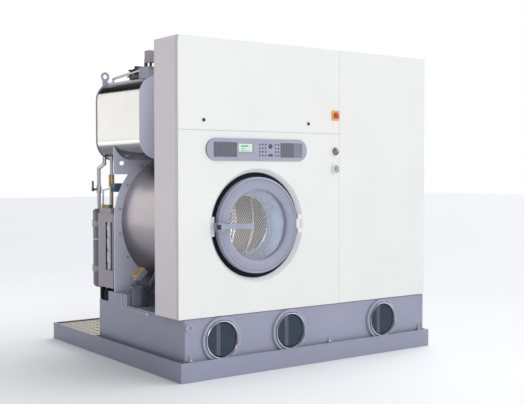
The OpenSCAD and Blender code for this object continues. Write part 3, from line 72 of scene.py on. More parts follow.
# the machine's own measures in millimetres, as in the CAD
plan = {
    "doorX": -458, "doorZ": 928, "panelX": -1041, "topZ": 2080, "tankY": -901.5, "tankTop": 372,
    "boxTop": 1900, "drumFront": -741.5,
}
doorAxis = ((plan["doorX"], 0, plan["doorZ"]), (0, 1, 0))  # shared by door, neck, cage and drum
upwards = (0, 0, 1)
toFront = (0, -1, 0)
skinGap = 0.2  # how deep an added piece sinks into the face that carries it

# colour: two shades blended by noise; rough: roughness between two values; bump: strength of the grain;
# grain: its scale along each axis; gloss: specular level; and for painted shade by height,
# its low end, high end and least share of the colour
looks = {
    "trayPaint": {"colour": ((0.27, 0.28, 0.37), (0.30, 0.31, 0.405)), "rough": (0.38, 0.5), "bump": 0.05},
    "tankPaint": {"colour": ((0.295, 0.305, 0.40), (0.33, 0.34, 0.44)), "rough": (0.34, 0.46), "bump": 0.06},
    "platePaint": {"colour": ((0.64, 0.65, 0.78), (0.69, 0.70, 0.83)), "rough": (0.33, 0.45), "bump": 0.05},
    "greyPaint": {"colour": ((0.325, 0.335, 0.435), (0.365, 0.375, 0.48)), "rough": (0.33, 0.45),
                  "bump": 0.05},
    "framePaint": {"colour": ((0.34, 0.30, 0.335), (0.38, 0.335, 0.375)), "rough": (0.4, 0.5), "bump": 0.05},
    "bezelPaint": {"colour": ((0.335, 0.34, 0.435), (0.375, 0.38, 0.48)), "rough": (0.3, 0.4), "bump": 0.03},
    # painted shade: a darker, pinkish copy of the white paint for the machine's sides
    "sidePaintShaded": {"colour": ((0.73, 0.675, 0.705), (0.76, 0.705, 0.735)), "rough": (0.3, 0.4), "bump": 0.025},
    "whitePaint": {"colour": ((0.79, 0.78, 0.76), (0.83, 0.82, 0.80)), "rough": (0.3, 0.4), "bump": 0.025},
    "darkPaint": {"colour": ((0.035, 0.036, 0.045), (0.05, 0.052, 0.06)), "rough": (0.42, 0.55),
                  "bump": 0.06},
    "vesselPaint": {"colour": ((0.15, 0.14, 0.175), (0.19, 0.18, 0.215)), "rough": (0.3, 0.42), "bump": 0.05,
                    "metal": 0.4},
    "foil": {"colour": ((0.60, 0.61, 0.68), (0.72, 0.73, 0.80)), "rough": (0.3, 0.5), "bump": 0.2,
             "metal": 0.3},
    "stainless": {"colour": ((0.60, 0.575, 0.57), (0.68, 0.655, 0.65)), "rough": (0.2, 0.3), "bump": 0.02,
                  "metal": 1.0, "grain": (6, 6, 700)},
    # painted shade: the air box's polished sheet grows darker towards its lower curve
    "mirror": {"colour": ((0.68, 0.665, 0.635), (0.74, 0.725, 0.695)), "rough": (0.13, 0.2), "bump": 0.01,
               "metal": 1.0, "grain": (30, 500, 30), "paintedShade": (1.415, 1.50, 0.1)},
    # painted shade: the drum grows darker and bluer towards its bottom
    "drumSteel": {"colour": ((0.60, 0.555, 0.57), (0.68, 0.63, 0.645)), "rough": (0.3, 0.4), "bump": 0.02,
                  "metal": 1.0, "grain": (6, 6, 700), "paintedShade": (0.70, 1.22, 0.3)},
    "neckSteel": {"colour": ((0.46, 0.50, 0.60), (0.53, 0.57, 0.67)), "rough": (0.22, 0.3), "bump": 0.006,
                  "metal": 0.55, "grain": (40, 600, 40)},
    # painted light: a whiter copy of the white paint, so the recess ring's sloping faces read white where
    # they lie in shade; the ladder dots wear it too
    "recessPaint": {"colour": ((0.87, 0.86, 0.845), (0.91, 0.90, 0.885)), "rough": (0.3, 0.4), "bump": 0.02},
    "ringFace": {"colour": ((0.30, 0.31, 0.405), (0.335, 0.345, 0.44)), "rough": (0.3, 0.42), "bump": 0.04},
    "boltSteel": {"colour": ((0.34, 0.35, 0.42), (0.42, 0.43, 0.50)), "rough": (0.35, 0.5), "bump": 0.04,
                  "metal": 0.25},
    "domeSteel": {"colour": ((0.22, 0.19, 0.185), (0.28, 0.25, 0.24)), "rough": (0.08, 0.14), "bump": 0.005,
                  "metal": 1.0},
    # painted shade: the button trap and its cover darker than their paint, for the shadow under the drum
    "trapPaintShaded": {"colour": ((0.10, 0.11, 0.15), (0.13, 0.14, 0.185)), "rough": (0.35, 0.5), "bump": 0.05},
    "bright": {"colour": ((0.70, 0.70, 0.73), (0.78, 0.78, 0.80)), "rough": (0.1, 0.2), "bump": 0.01,
               "metal": 1.0},
    "zinc": {"colour": ((0.50, 0.51, 0.53), (0.62, 0.62, 0.64)), "rough": (0.3, 0.45), "bump": 0.05,
             "metal": 1.0},
    "cast": {"colour": ((0.13, 0.135, 0.15), (0.17, 0.175, 0.19)), "rough": (0.5, 0.7), "bump": 0.25,
             "metal": 0.6},
    "rubber": {"colour": ((0.006, 0.006, 0.008), (0.012, 0.012, 0.015)), "rough": (0.55, 0.7), "bump": 0.1,
               "gloss": 0.12},
    "blackPlastic": {"colour": ((0.012, 0.012, 0.014), (0.022, 0.022, 0.025)), "rough": (0.35, 0.5),
                     "bump": 0.08},
    "keyPlastic": {"colour": ((0.055, 0.058, 0.10), (0.07, 0.075, 0.125)), "rough": (0.3, 0.4), "bump": 0.03},
    "redPlastic": {"colour": ((0.56, 0.045, 0.015), (0.64, 0.06, 0.02)), "rough": (0.25, 0.35), "bump": 0.03},
    "yellowPlastic": {"colour": ((0.82, 0.42, 0.055), (0.90, 0.48, 0.075)), "rough": (0.4, 0.5),
                      "bump": 0.04},
    "labelYellow": {"colour": ((0.80, 0.56, 0.20), (0.88, 0.64, 0.26)), "rough": (0.45, 0.55), "bump": 0.02},
    "labelOrange": {"colour": ((0.66, 0.36, 0.06), (0.74, 0.42, 0.08)), "rough": (0.45, 0.55), "bump": 0.02},
    "copper": {"colour": ((0.44, 0.22, 0.11), (0.56, 0.31, 0.16)), "rough": (0.3, 0.45), "bump": 0.06,
               "metal": 1.0},
    "brass": {"colour": ((0.42, 0.28, 0.12), (0.54, 0.38, 0.17)), "rough": (0.28, 0.42), "bump": 0.06,
              "metal": 1.0},
    "coilTeal": {"colour": ((0.035, 0.10, 0.135), (0.05, 0.135, 0.175)), "rough": (0.35, 0.5), "bump": 0.05},
    "leadSheath": {"colour": ((0.56, 0.57, 0.64), (0.64, 0.65, 0.71)), "rough": (0.4, 0.5), "bump": 0.03},
    "faceWhite": {"colour": ((0.56, 0.56, 0.56), (0.64, 0.64, 0.63)), "rough": (0.4, 0.5), "bump": 0.01},
}
# colour and alpha of each glass
panes = {
    "doorPane": ((0.45, 0.52, 0.60), 0.07),
    "sightPane": ((0.05, 0.09, 0.16), 0.26),
    "gaugePane": ((0.5, 0.53, 0.55), 0.12),
}
# ground colour, mark colour, roughness, metal, kind of mark, bump and size of a mark
patterns = {
    "perforated": ((0.80, 0.75, 0.71), (0.04, 0.036, 0.034), 0.32, 0.5, "holes", 0.3, 0.36),
    "grating": ((0.60, 0.55, 0.42), (0.03, 0.028, 0.03), 0.35, 0.8, "holes", 0.6, 0.33),
    "legend": ((0.095, 0.088, 0.12), (0.19, 0.185, 0.235), 0.35, 0.0, "lines", 0.05, 0.16),
    "legendPale": ((0.17, 0.165, 0.21), (0.29, 0.285, 0.35), 0.35, 0.0, "lines", 0.05, 0.16),
    "screenLit": ((0.60, 0.86, 0.68), (0.66, 0.93, 0.74), 0.25, 0.0, "lines", 0.02, 0.2),
}
paint = {"cloud": 3.0, "speck": 140.0, "grain": (420, 420, 420), "shadow": (0.03, 0.032, 0.045),
         "bumpDepth": 0.001}
made = {}


def nodeAdder(mat):
    # gives a function that adds one node, its inputs set to values or joined to sockets
    tree = mat.node_tree

    def add(kind, inputs=None, **settings):
        n = tree.nodes.new(kind)
        for k, v in settings.items():
            setattr(n, k, v)
        for k, v in (inputs or {}).items():
            if isinstance(v, bpy.types.NodeSocket):
                tree.links.new(v, n.inputs[k])
            else:
                n.inputs[k].default_value = v
        return n
    return add


def newMaterial(name):
    mat = bpy.data.materials.new(name)
    mat.use_nodes = True
    mat.node_tree.nodes.clear()
    return mat, nodeAdder(mat)


def blend(add, factor, first, second):
    # a colour between two others, each a socket or a plain colour
    ends = [c if isinstance(c, bpy.types.NodeSocket) else (*c, 1) for c in (first, second)]
    return add("ShaderNodeMix", {"Factor": factor, 6: ends[0], 7: ends[1]}, data_type="RGBA").outputs[2]


def maths(add, first, operation, second=0.0):
    return add("ShaderNodeMath", {0: first, 1: second}, operation=operation).outputs[0]


def shaded(look):
    # two shades mixed by clouds and specks; one fine grain gives both the roughness and the bump
    if look in made:
        return made[look]
    v = looks[look]
    mat, add = newMaterial(look)
    coord = add("ShaderNodeTexCoord").outputs["Object"]
    cloud = add("ShaderNodeTexNoise", {"Vector": coord, "Scale": paint["cloud"], "Detail": 4.0,
                                       "Roughness": 0.6})
    speck = add("ShaderNodeTexNoise", {"Vector": coord, "Scale": paint["speck"], "Detail": 2.0})
    both = maths(add, cloud.outputs["Fac"], "ADD", speck.outputs["Fac"])
    share = add("ShaderNodeMapRange", {"Value": both, "From Min": 0.75, "From Max": 1.25})
    shade = blend(add, share.outputs[0], *v["colour"])
    if "paintedShade" in v:
        # painted shade by height: a share of the colour at the lower end, mixed with a dark shadow tone, all
        # of it at the upper end
        low, high, least = v["paintedShade"]
        height = add("ShaderNodeSeparateXYZ", {0: coord}).outputs[2]
        part = add("ShaderNodeMapRange", {"Value": height, "From Min": low, "From Max": high,
                                          "To Min": least}, interpolation_type="SMOOTHSTEP")
        shade = blend(add, part.outputs[0], paint["shadow"], shade)
    grain = add("ShaderNodeMapping", {"Vector": coord, "Scale": v.get("grain", paint["grain"])})
    fine = add("ShaderNodeTexNoise", {"Vector": grain.outputs[0], "Scale": 1.0, "Detail": 3.0})
    rough = add("ShaderNodeMapRange", {"Value": fine.outputs["Fac"], "From Min": 0.3, "From Max": 0.7,
                                       "To Min": v["rough"][0], "To Max": v["rough"][1]})
    bump = add("ShaderNodeBump", {"Height": fine.outputs["Fac"], "Strength": v["bump"],
                                  "Distance": paint["bumpDepth"]})
    skin = add("ShaderNodeBsdfPrincipled", {"Base Color": shade, "Roughness": rough.outputs[0],
                                            "Normal": bump.outputs[0]})
    skin.inputs["Metallic"].default_value = v.get("metal", 0.0)
    skin.inputs["Specular IOR Level"].default_value = v.get("gloss", 0.5)
    add("ShaderNodeOutputMaterial", {"Surface": skin.outputs[0]})
    made[look] = mat
    return mat


def glassMaterial(name, colour, alpha):
    # clear sheet with a slow, weak wave
    mat, add = newMaterial(name)
    coord = add("ShaderNodeTexCoord").outputs["Object"]
    wave = add("ShaderNodeTexNoise", {"Vector": coord, "Scale": 8.0, "Detail": 1.0})
    bump = add("ShaderNodeBump", {"Height": wave.outputs["Fac"], "Strength": 0.02, "Distance": 0.01})
    skin = add("ShaderNodeBsdfPrincipled", {"Normal": bump.outputs[0]})
    skin.inputs["Base Color"].default_value = (*colour, 1)
    skin.inputs["Roughness"].default_value = 0.03
    skin.inputs["Alpha"].default_value = alpha
    skin.inputs["Specular IOR Level"].default_value = 1.0
    add("ShaderNodeOutputMaterial", {"Surface": skin.outputs[0]})
    made[name] = mat


def patternMaterial(name, ground, mark, roughness, metal, kind, bumpStrength, size):
    # marks on the piece's own UV map, one mark to a unit: round holes, or thin ruled lines
    mat, add = newMaterial(name)
    uv = add("ShaderNodeTexCoord").outputs["UV"]
    if kind == "holes":
        dot = add("ShaderNodeTexVoronoi", {"Vector": uv, "Scale": 1.0, "Randomness": 0.0},
                  voronoi_dimensions="2D")
        mask = add("ShaderNodeMapRange", {"Value": dot.outputs["Distance"], "From Min": size,
                                          "From Max": size - 0.06}).outputs[0]
    else:
        part = add("ShaderNodeSeparateXYZ", {0: uv})
        across, down = (maths(add, maths(add, part.outputs[axis], "FRACT"), "LESS_THAN", size)
                        for axis in (0, 1))
        mask = maths(add, across, "MAXIMUM", down)
    coord = add("ShaderNodeTexCoord").outputs["Object"]
    cloud = add("ShaderNodeTexNoise", {"Vector": coord, "Scale": 9.0, "Detail": 3.0})
    darker = [c * 0.88 for c in ground]
    lighter = [min(1, c * 1.08) for c in ground]
    shade = blend(add, cloud.outputs["Fac"], darker, lighter)
    bump = add("ShaderNodeBump", {"Height": mask, "Strength": bumpStrength, "Distance": paint["bumpDepth"]},
               invert=True)
    skin = add("ShaderNodeBsdfPrincipled", {"Base Color": blend(add, mask, shade, mark),
                                            "Normal": bump.outputs[0]})
    skin.inputs["Roughness"].default_value = roughness
    skin.inputs["Metallic"].default_value = metal
    add("ShaderNodeOutputMaterial", {"Surface": skin.outputs[0]})
    made[name] = mat


for paneName, values in panes.items():
    glassMaterial(paneName, *values)
for patternName, values in patterns.items():
    patternMaterial(patternName, *values)
print("materials made")


# shapes are arrays of points in millimetres, and faces


def softCorners(points, radius, steps, closed):
    # each corner P between neighbours A and B becomes a quadratic curve from P towards A to P towards B
    p = np.asarray(points, float)
    toA, toB = np.roll(p, 1, 0) - p, np.roll(p, -1, 0) - p
    la, lb = np.linalg.norm(toA, axis=1), np.linalg.norm(toB, axis=1)
    cutLen = np.minimum(radius, 0.45 * np.minimum(la, lb))
    if not closed:
        cutLen[0] = cutLen[-1] = 0
    a = p + toA / np.maximum(la, 1e-9)[:, None] * cutLen[:, None]
    b = p + toB / np.maximum(lb, 1e-9)[:, None] * cutLen[:, None]
    t = np.linspace(0, 1, steps + 1)[None, :, None]
    curve = a[:, None] * (1 - t) ** 2 + 2 * p[:, None] * t * (1 - t) + b[:, None] * t ** 2
    return np.concatenate([q if cutLen[i] > 1e-6 else q[:1] for i, q in enumerate(curve)])


def gridFaces(nu, nv, closeU=False, closeV=False):
    # quads between neighbours of a grid of nu by nv points
    i = np.arange(nu if closeU else nu - 1)[:, None]
    j = np.arange(nv if closeV else nv - 1)[None, :]
    i2, j2 = (i + 1) % nu, (j + 1) % nv
    return np.stack([i * nv + j, i2 * nv + j, i2 * nv + j2, i * nv + j2], -1).reshape(-1, 4).tolist()


def shape(points, faces, look=0, uv=None):
    # points in rows, faces as lists of their indices, and which of the piece's materials they wear
    return {"p": np.asarray(points, float).reshape(-1, 3), "f": faces, "look": look, "uv": uv}


def lathe(origin, axis, profile, look=0, sides=64, soft=0.0, closed=True):
    # a profile of (radius, distance along the axis) turned about the axis through origin
    prof = np.asarray(profile, float)
    if soft:
        prof = softCorners(prof, soft, 3, closed)
    w = np.asarray(axis, float)
    w = w / np.linalg.norm(w)
    u = np.cross(w, (0, 0, 1.0) if abs(w[2]) < 0.9 else (1.0, 0, 0))
    u = u / np.linalg.norm(u)
    v = np.cross(w, u)
    t = np.linspace(0, 2 * np.pi, sides, endpoint=False)
    rim = np.cos(t)[:, None] * u + np.sin(t)[:, None] * v
    pts = np.asarray(origin, float) + prof[None, :, :1] * rim[:, None, :] + prof[None, :, 1:] * w
    return shape(pts, gridFaces(sides, len(prof), True, closed), look)


def disc(r, s0, s1):
    # profile of a plain round bar with both ends
    return [(0, s0), (r, s0), (r, s1), (0, s1)]


def washer(r, bore, s0, s1):
    # profile of a flat ring
    return [(bore, s0), (r, s0), (r, s1), (bore, s1)]


def tube(path, radius, look, bend, sides):
    # a circle carried along the path, its frame turned as little as possible from point to point
    p = softCorners(path, bend, 5, False)
    d = np.gradient(p, axis=0)
    d /= np.linalg.norm(d, axis=1)[:, None]
    n = np.cross(d[0], (0.3, 0.9, 0.2))
    n /= np.linalg.norm(n)
    frames = []
    for k in range(len(p)):
        n = n - d[k] * np.dot(n, d[k])
        n /= np.linalg.norm(n)
        frames.append(n)
    a = np.array(frames)
    b = np.cross(d, a)
    t = np.linspace(0, 2 * np.pi, sides, endpoint=False)
    rim = np.cos(t)[None, :, None] * a[:, None] + np.sin(t)[None, :, None] * b[:, None]
    faces = gridFaces(len(p), sides, False, True)
    faces += [list(range(sides)), list(range((len(p) - 1) * sides, len(p) * sides))]
    return shape(p[:, None] + radius * rim, faces, look)


def rect(u0, u1, v0, v1, r=0.0, steps=5):
    # a rectangle whose corners are arcs of radius r
    if not r:
        return np.array([(u0, v0), (u1, v0), (u1, v1), (u0, v1)], float)
    centres = np.array([(u1 - r, v0 + r), (u1 - r, v1 - r), (u0 + r, v1 - r), (u0 + r, v0 + r)])
    t = np.linspace(0, np.pi / 2, steps + 1)[None, :] + (np.arange(4) - 1)[:, None] * np.pi / 2
    return (centres[:, None] + r * np.stack([np.cos(t), np.sin(t)], -1)).reshape(-1, 2)


def area(loop):
    # half the sum of the cross products of neighbours: positive when the loop runs to the left
    x, y = loop[:, 0], loop[:, 1]
    return 0.5 * np.sum(x * np.roll(y, -1) - y * np.roll(x, -1))


def inset(loop, d):
    # every point of a closed loop moved along the mean of its two edges' normals
    e = np.roll(loop, -1, 0) - loop
    e = e / np.maximum(np.linalg.norm(e, axis=1), 1e-9)[:, None]
    n = np.stack([-e[:, 1], e[:, 0]], -1)
    m = n + np.roll(n, 1, 0)
    m = m / np.maximum((m * m).sum(1), 1e-6)[:, None] * 2
    return loop + m * d


weld = {"cad": 5e-6, "own": 2e-6}  # points closer than this become one, in metres
edgeFrom = 40  # degrees: only sharper edges are rounded
flatTo = 0.5  # degrees: flatter ones vanish
planes = {"xz": (0, 2, 1), "xy": (0, 1, 2), "yz": (1, 2, 0)}  # axes of the outline, then of the thickness


def plate(outline, w0, w1, look=0, holes=(), edge=1.0, plane="xz", uvScale=None):
    # an outline given a thickness from w0 to w1, with all its edges rounded and its holes open
    outer = np.asarray(outline, float)
    inner = [np.asarray(h, float) for h in holes]
    loops = [outer if area(outer) > 0 else outer[::-1]] + [h if area(h) < 0 else h[::-1] for h in inner]
    t = np.linspace(0, np.pi / 2, 3) if edge else np.array([0.0])
    ins = np.concatenate([edge * (1 - np.sin(t)), (edge * (1 - np.sin(t)))[::-1]])
    dep = np.concatenate([w0 + edge * (1 - np.cos(t)), (w1 - edge * (1 - np.cos(t)))[::-1]])
    pts, faces, firsts = [], [], []
    base = 0
    for loop in loops:
        rings = [np.column_stack([inset(loop, ins[k]), np.full(len(loop), dep[k])]) for k in range(len(ins))]
        pts.append(np.concatenate(rings))
        faces += [[base + i for i in f] for f in gridFaces(len(ins), len(loop), False, True)]
        firsts.append(base)
        base += len(ins) * len(loop)
    for k in (0, len(ins) - 1):
        rings = [[Vector((*q, 0)) for q in inset(loop, ins[k])] for loop in loops]
        index = np.concatenate([f + k * len(l) + np.arange(len(l)) for f, l in zip(firsts, loops)])
        faces += [[int(index[i]) for i in tri] for tri in tessellate_polygon(rings)]
    flat = np.concatenate(pts)
    out = np.zeros_like(flat)
    out[:, list(planes[plane])] = flat
    uv = (flat[:, :2] - loops[0].min(0)) / np.asarray(uvScale) if uvScale else None
    return shape(out, faces, look, uv)


def block(x0, x1, y0, y1, z0, z1, look=0, edge=1.0, corner=None):
    # a rounded rectangle in X and Z, given a thickness along Y, with all edges rounded
    return plate(rect(x0, x1, z0, z1, edge if corner is None else corner, 3), y0, y1, look, edge=edge)


def moved(s, turn, shift):
    # turned about the origin, then shifted
    return {**s, "p": s["p"] @ turn.T + np.asarray(shift, float)}


def turnAbout(axis, degrees):
    return np.array(Matrix.Rotation(math.radians(degrees), 3, axis))


def hexHead(centre, axis, r, h, look, washerR):
    # six-sided head with a chamfered face, on its washer
    head = [(0, 0), (r, 0), (r, h * 0.75), (r * 0.86, h), (0, h)]
    return [lathe(centre, axis, head, look, 6), lathe(centre, axis, disc(washerR, 0, h * 0.22), look, 20)]


def piece(name, shapes, body, materials, replaces=(), sharp=32, merge=True):
    # all shapes in one mesh, each face with its own material
    pts, faces, lookOf, uvs, base = [], [], [], [], 0
    hasUv = any(s["uv"] is not None for s in shapes)
    for s in shapes:
        pts.append(s["p"])
        faces += [[base + i for i in f] for f in s["f"]]
        lookOf += [s["look"]] * len(s["f"])
        uvs.append(s["uv"] if s["uv"] is not None else np.zeros((len(s["p"]), 2)))
        base += len(s["p"])
    mesh = bpy.data.meshes.new(name)
    mesh.from_pydata((np.concatenate(pts) / 1000).tolist(), [], faces)
    mesh.polygons.foreach_set("material_index", np.array(lookOf, np.int32))
    if hasUv:
        layer = mesh.uv_layers.new(name="UVMap")
        corner = np.zeros(len(mesh.loops), np.int32)
        mesh.loops.foreach_get("vertex_index", corner)
        layer.data.foreach_set("uv", np.concatenate(uvs)[corner].astype(np.float32).ravel())
    b = bmesh.new()
    b.from_mesh(mesh)
    if merge:
        bmesh.ops.remove_doubles(b, verts=b.verts, dist=weld["own"])
    bmesh.ops.recalc_face_normals(b, faces=b.faces)
    b.to_mesh(mesh)
    b.free()
    finishPiece(name, mesh, body, materials, replaces, sharp)


def evaluated(mesh, kind, **settings):
    # the mesh as one modifier leaves it
    maker = bpy.data.objects.new("maker", mesh)
    bpy.context.scene.collection.objects.link(maker)
    step = maker.modifiers.new("step", kind)
    for k, v in settings.items():
        setattr(step, k, v)
    bpy.context.view_layer.update()
    done = bpy.data.meshes.new_from_object(maker.evaluated_get(bpy.context.evaluated_depsgraph_get()))
    bpy.data.objects.remove(maker)
    return done


def finishPiece(name, mesh, body, materials, replaces, sharp=32):
    # smooth faces, sharp edges where they meet at more than the given angle, weighted normals
    for look in materials:
        mesh.materials.append(shaded(look))
    mesh.polygons.foreach_set("use_smooth", np.ones(len(mesh.polygons), bool))
    mesh.set_sharp_from_angle(angle=math.radians(sharp))
    mesh = evaluated(mesh, "WEIGHTED_NORMAL", mode="FACE_AREA", weight=50, keep_sharp=True)
    mesh.name = name
    obj = bpy.data.objects.new(name, mesh)
    bpy.context.scene.collection.objects.link(obj)
    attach(obj, body)
    if replaces:
        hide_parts(*replaces)


bodyOf = {n: b for b, names in frame["record"]["behaviour"]["bodies"].items() for n in names}


def dressed(node, materials, edge=1.2, pick=None, uvOf=None):
    # a merged copy of a CAD node, its hard edges rounded; pick gives a face its material by place and normal
    mesh = frame["nodes"][node].data.copy()
    mesh.materials.clear()
    b = bmesh.new()
    b.from_mesh(mesh)
    bmesh.ops.remove_doubles(b, verts=b.verts, dist=weld["cad"])
    bmesh.ops.dissolve_limit(b, angle_limit=math.radians(flatTo), verts=b.verts, edges=b.edges)
    b.to_mesh(mesh)
    b.free()
    done = evaluated(mesh, "BEVEL", width=edge / 1000, segments=2, limit_method="ANGLE",
                     angle_limit=math.radians(edgeFrom))
    done.materials.clear()
    count = len(done.polygons)
    centre, normal = np.zeros(count * 3, np.float32), np.zeros(count * 3, np.float32)
    done.polygons.foreach_get("center", centre)
    done.polygons.foreach_get("normal", normal)
    centre, normal = centre.reshape(-1, 3) * 1000, normal.reshape(-1, 3)
    index = np.zeros(count, np.int32) if pick is None else np.asarray(pick(centre, normal), np.int32)
    done.polygons.foreach_set("material_index", index)
    if uvOf:
        totals = np.zeros(count, np.int32)
        done.polygons.foreach_get("loop_total", totals)
        vertexOf = np.zeros(len(done.loops), np.int32)
        done.loops.foreach_get("vertex_index", vertexOf)
        spots = np.zeros(len(done.vertices) * 3, np.float32)
        done.vertices.foreach_get("co", spots)
        face = np.repeat(np.arange(count), totals)
        uv = uvOf(spots.reshape(-1, 3)[vertexOf] * 1000, centre[face], normal[face])
        layer = done.uv_layers.new(name="UVMap")
        layer.data.foreach_set("uv", uv.astype(np.float32).ravel())
    finishPiece(node + "Skin", done, bodyOf[node], materials, (node,))


# pieces whose CAD form is right and that wear one finish: look, and radius of their edges
plainPieces = {
    "drip_tray": ("trayPaint", 2.0), "solvent_tank": ("tankPaint", 1.5), "cabinet_frame": ("darkPaint", 2.0),
    "lower_left_panel": ("whitePaint", 1.0), "right_panel": ("whitePaint", 1.0),
    # the side panels wear painted shade: a darker, pinkish copy of the white paint
    "side_panels": ("sidePaintShaded", 1.0), "service_flap": ("whitePaint", 1.0),
    # the recess ring wears painted light: a whiter copy of the panels' white
    "recess_ring": ("recessPaint", 1.0), "flap_fittings": ("zinc", 0.6),
    "flap_lock_left": ("blackPlastic", 0.5), "flap_lock_right": ("blackPlastic", 0.5),
    "door_handle": ("greyPaint", 3.0), "door_gasket": ("rubber", 2.0), "clamp_ring": ("platePaint", 0.8),
    "frame_plate": ("platePaint", 1.5), "rear_wall": ("greyPaint", 1.5), "drum_shaft": ("zinc", 1.5),
    "bearing_housing": ("cast", 2.5), "cage_pulley": ("cast", 2.0), "drive_belt": ("rubber", 1.0),
    "drive_motor": ("darkPaint", 2.5), "motor_pulley": ("cast", 1.5), "fan_motor": ("darkPaint", 2.5),
    # button trap and its cover: painted shade, darkened for the shadow under the drum
    "fan_impeller": ("zinc", 0.8), "air_coils": ("copper", 0.4), "button_trap": ("trapPaintShaded", 1.5),
    "trap_cover": ("trapPaintShaded", 1.2), "still_door": ("greyPaint", 1.5), "switch_box": ("whitePaint", 1.5),
    "valve_lever": ("blackPlastic", 0.8), "stop_plate": ("yellowPlastic", 1.2),
    "level_ladders": ("darkPaint", 0.2), "hex_bolts": ("boltSteel", 0.7),
    "solvent_pump": ("blackPlastic", 2.0), "interlock_leads": ("leadSheath", 0.3), "pipework": ("zinc", 0.5),
    "membrane_keys": ("keyPlastic", 0.4), "stop_button": ("redPlastic", 1.0),
    "start_button": ("keyPlastic", 1.0), "selector_knob": ("domeSteel", 1.0),
    "gauge_needle": ("blackPlastic", 0.2), "still_vessel": ("stainless", 2.0),
    "filter_vessel": ("stainless", 2.0),
}
for nodeName, (look, edge) in plainPieces.items():
    dressed(nodeName, [look], edge)
print("plain pieces dressed")

# where a piece changes its finish, in millimetres
change = {
    "doorHingeX": plan["doorX"] + 306, "coolerFeetZ": 463, "boxRearY": 304, "boxFrontY": -321.6,
    "boxLidZ": plan["boxTop"] + 0.5, "drumFrontY": plan["drumFront"] + 5, "windowX": -880, "windowY": 200,
    "bezelShadeLeft": -0.6, "bezelShadeUp": 0.8, "walkwayUp": 0.9,  # shares of the face's normal
}
valves = {"lowZ": 1016, "lowY": 100, "tealY": 165, "rearY": 330, "upperZ": 1300, "topZ": 1890, "capZ": 1980}
gauge = {"x": 181, "z": 1283, "paneR": 27, "paneY": (-920.9, -920.2), "faceY": -917, "ticks": 11,
         "sweep": 240, "first": 210, "tickR": (18, 21, 25), "tickY": -915.7, "tickHalf": (0.3, 0.6)}


def fromAxis(c, x, z):
    return np.hypot(c[:, 0] - x, c[:, 2] - z)


def boxFinish(c, n):
    # grey at the rear and on the lid, plate paint in front, polished sheet round the sides
    rearOrLid = (c[:, 1] > change["boxRearY"]) | (c[:, 2] > change["boxLidZ"])
    return np.select([rearOrLid, c[:, 1] < change["boxFrontY"]], [2, 1], 0)


def valveFinish(c, n):
    # painted bodies low down and on the very top, teal coils in front, zinc behind, a dark valve, else brass
    y, z, v = c[:, 1], c[:, 2], valves
    return np.select([(z < v["lowZ"]) & (y > v["lowY"]), (y < v["tealY"]) & (z < v["upperZ"]),
                      (y > v["rearY"]) & (z < v["upperZ"]), z > v["capZ"], z > v["topZ"]],
                     [1, 2, 3, 1, 4], 0)


dressed("door_ring", ["greyPaint", "whitePaint"], 2.0, lambda c, n: c[:, 0] > change["doorHingeX"])
# painted shade: the bezel's left-facing and upward-facing faces wear dark paint
dressed("control_bezel", ["bezelPaint", "darkPaint"], 2.0,
        lambda c, n: (n[:, 0] < change["bezelShadeLeft"]) | (n[:, 2] > change["bezelShadeUp"]))
dressed("cooler_frame", ["framePaint", "rubber"], 1.2, lambda c, n: c[:, 2] < change["coolerFeetZ"])
dressed("air_box", ["mirror", "platePaint", "greyPaint"], 1.5, boxFinish)
dressed("drum_housing", ["drumSteel", "greyPaint"], 1.5, lambda c, n: c[:, 1] < change["drumFrontY"])
dressed("dial_bezels", ["bright", "faceWhite"], 0.8,
        lambda c, n: (fromAxis(c, gauge["x"], gauge["z"]) < gauge["paneR"]) & (c[:, 1] > gauge["faceY"]))
dressed("interlock_switch", ["leadSheath"], 2.0)
# painted shade: the vessel's tube behind its window is painted dark so it reads as the shaded inside
dressed("cooler_vessel", ["vesselPaint", "darkPaint"], 1.5,
        lambda c, n: (c[:, 1] < change["windowY"]) & (c[:, 0] < change["windowX"]))
dressed("valve_bodies", ["brass", "framePaint", "coilTeal", "zinc", "darkPaint"], 1.2, valveFinish)
dressed("door_fittings", ["leadSheath", "whitePaint"], 1.2, lambda c, n: c[:, 0] > plan["doorX"])
dressed("sight_glasses", ["sightPane"], 0.5)

# the cage: its holes, and the bands inside its shell
cage = {"pitch": 19.0, "around": 160, "shellR": 428, "lipY": -720, "hoopR": (432.6, 430.4),
        "hoops": ((-30, -12), (-256, -236))}
walkwayPitch = 14.2  # rows of holes lie this far apart, turned by an eighth: one hole every 20 mm each way
eighth = 0.7071  # sine and cosine of an eighth of a turn


def cageUv(p, c, n):
    # around and along the shell, or straight across on the two end plates, then turned by an eighth
    pitch = cage["pitch"]
    x, y, z = p[:, 0] - plan["doorX"], p[:, 1], p[:, 2] - plan["doorZ"]
    turn = np.arctan2(z, x)
    middle = np.arctan2(c[:, 2] - plan["doorZ"], c[:, 0] - plan["doorX"])
    turn = middle + (turn - middle + np.pi) % (2 * np.pi) - np.pi
    flat = np.abs(n[:, 1]) > 0.5
    u = np.where(flat, x / pitch, turn * cage["around"] / (2 * np.pi))
    v = np.where(flat, z / pitch, y / pitch)
    return np.stack([(u + v) * eighth, (u - v) * eighth], -1)


def cageFinish(c, n):
    # bright lifters, and holes everywhere else
    inside = fromAxis(c, plan["doorX"], plan["doorZ"]) < cage["shellR"]
    return inside & (np.abs(n[:, 1]) < 0.5) & (c[:, 1] > cage["lipY"])


def cageHoops(v):
    # one band in the corner at the rear wall, one near the middle
    outer, inner = v["hoopR"]
    return [lathe(*doorAxis, washer(outer, inner, y0, y1), 0, 96, 0.6) for y0, y1 in v["hoops"]]


def walkwayUv(p, c, n):
    u, v = p[:, 0] / walkwayPitch, p[:, 1] / walkwayPitch
    return np.stack([(u + v) * eighth, (u - v) * eighth], -1)


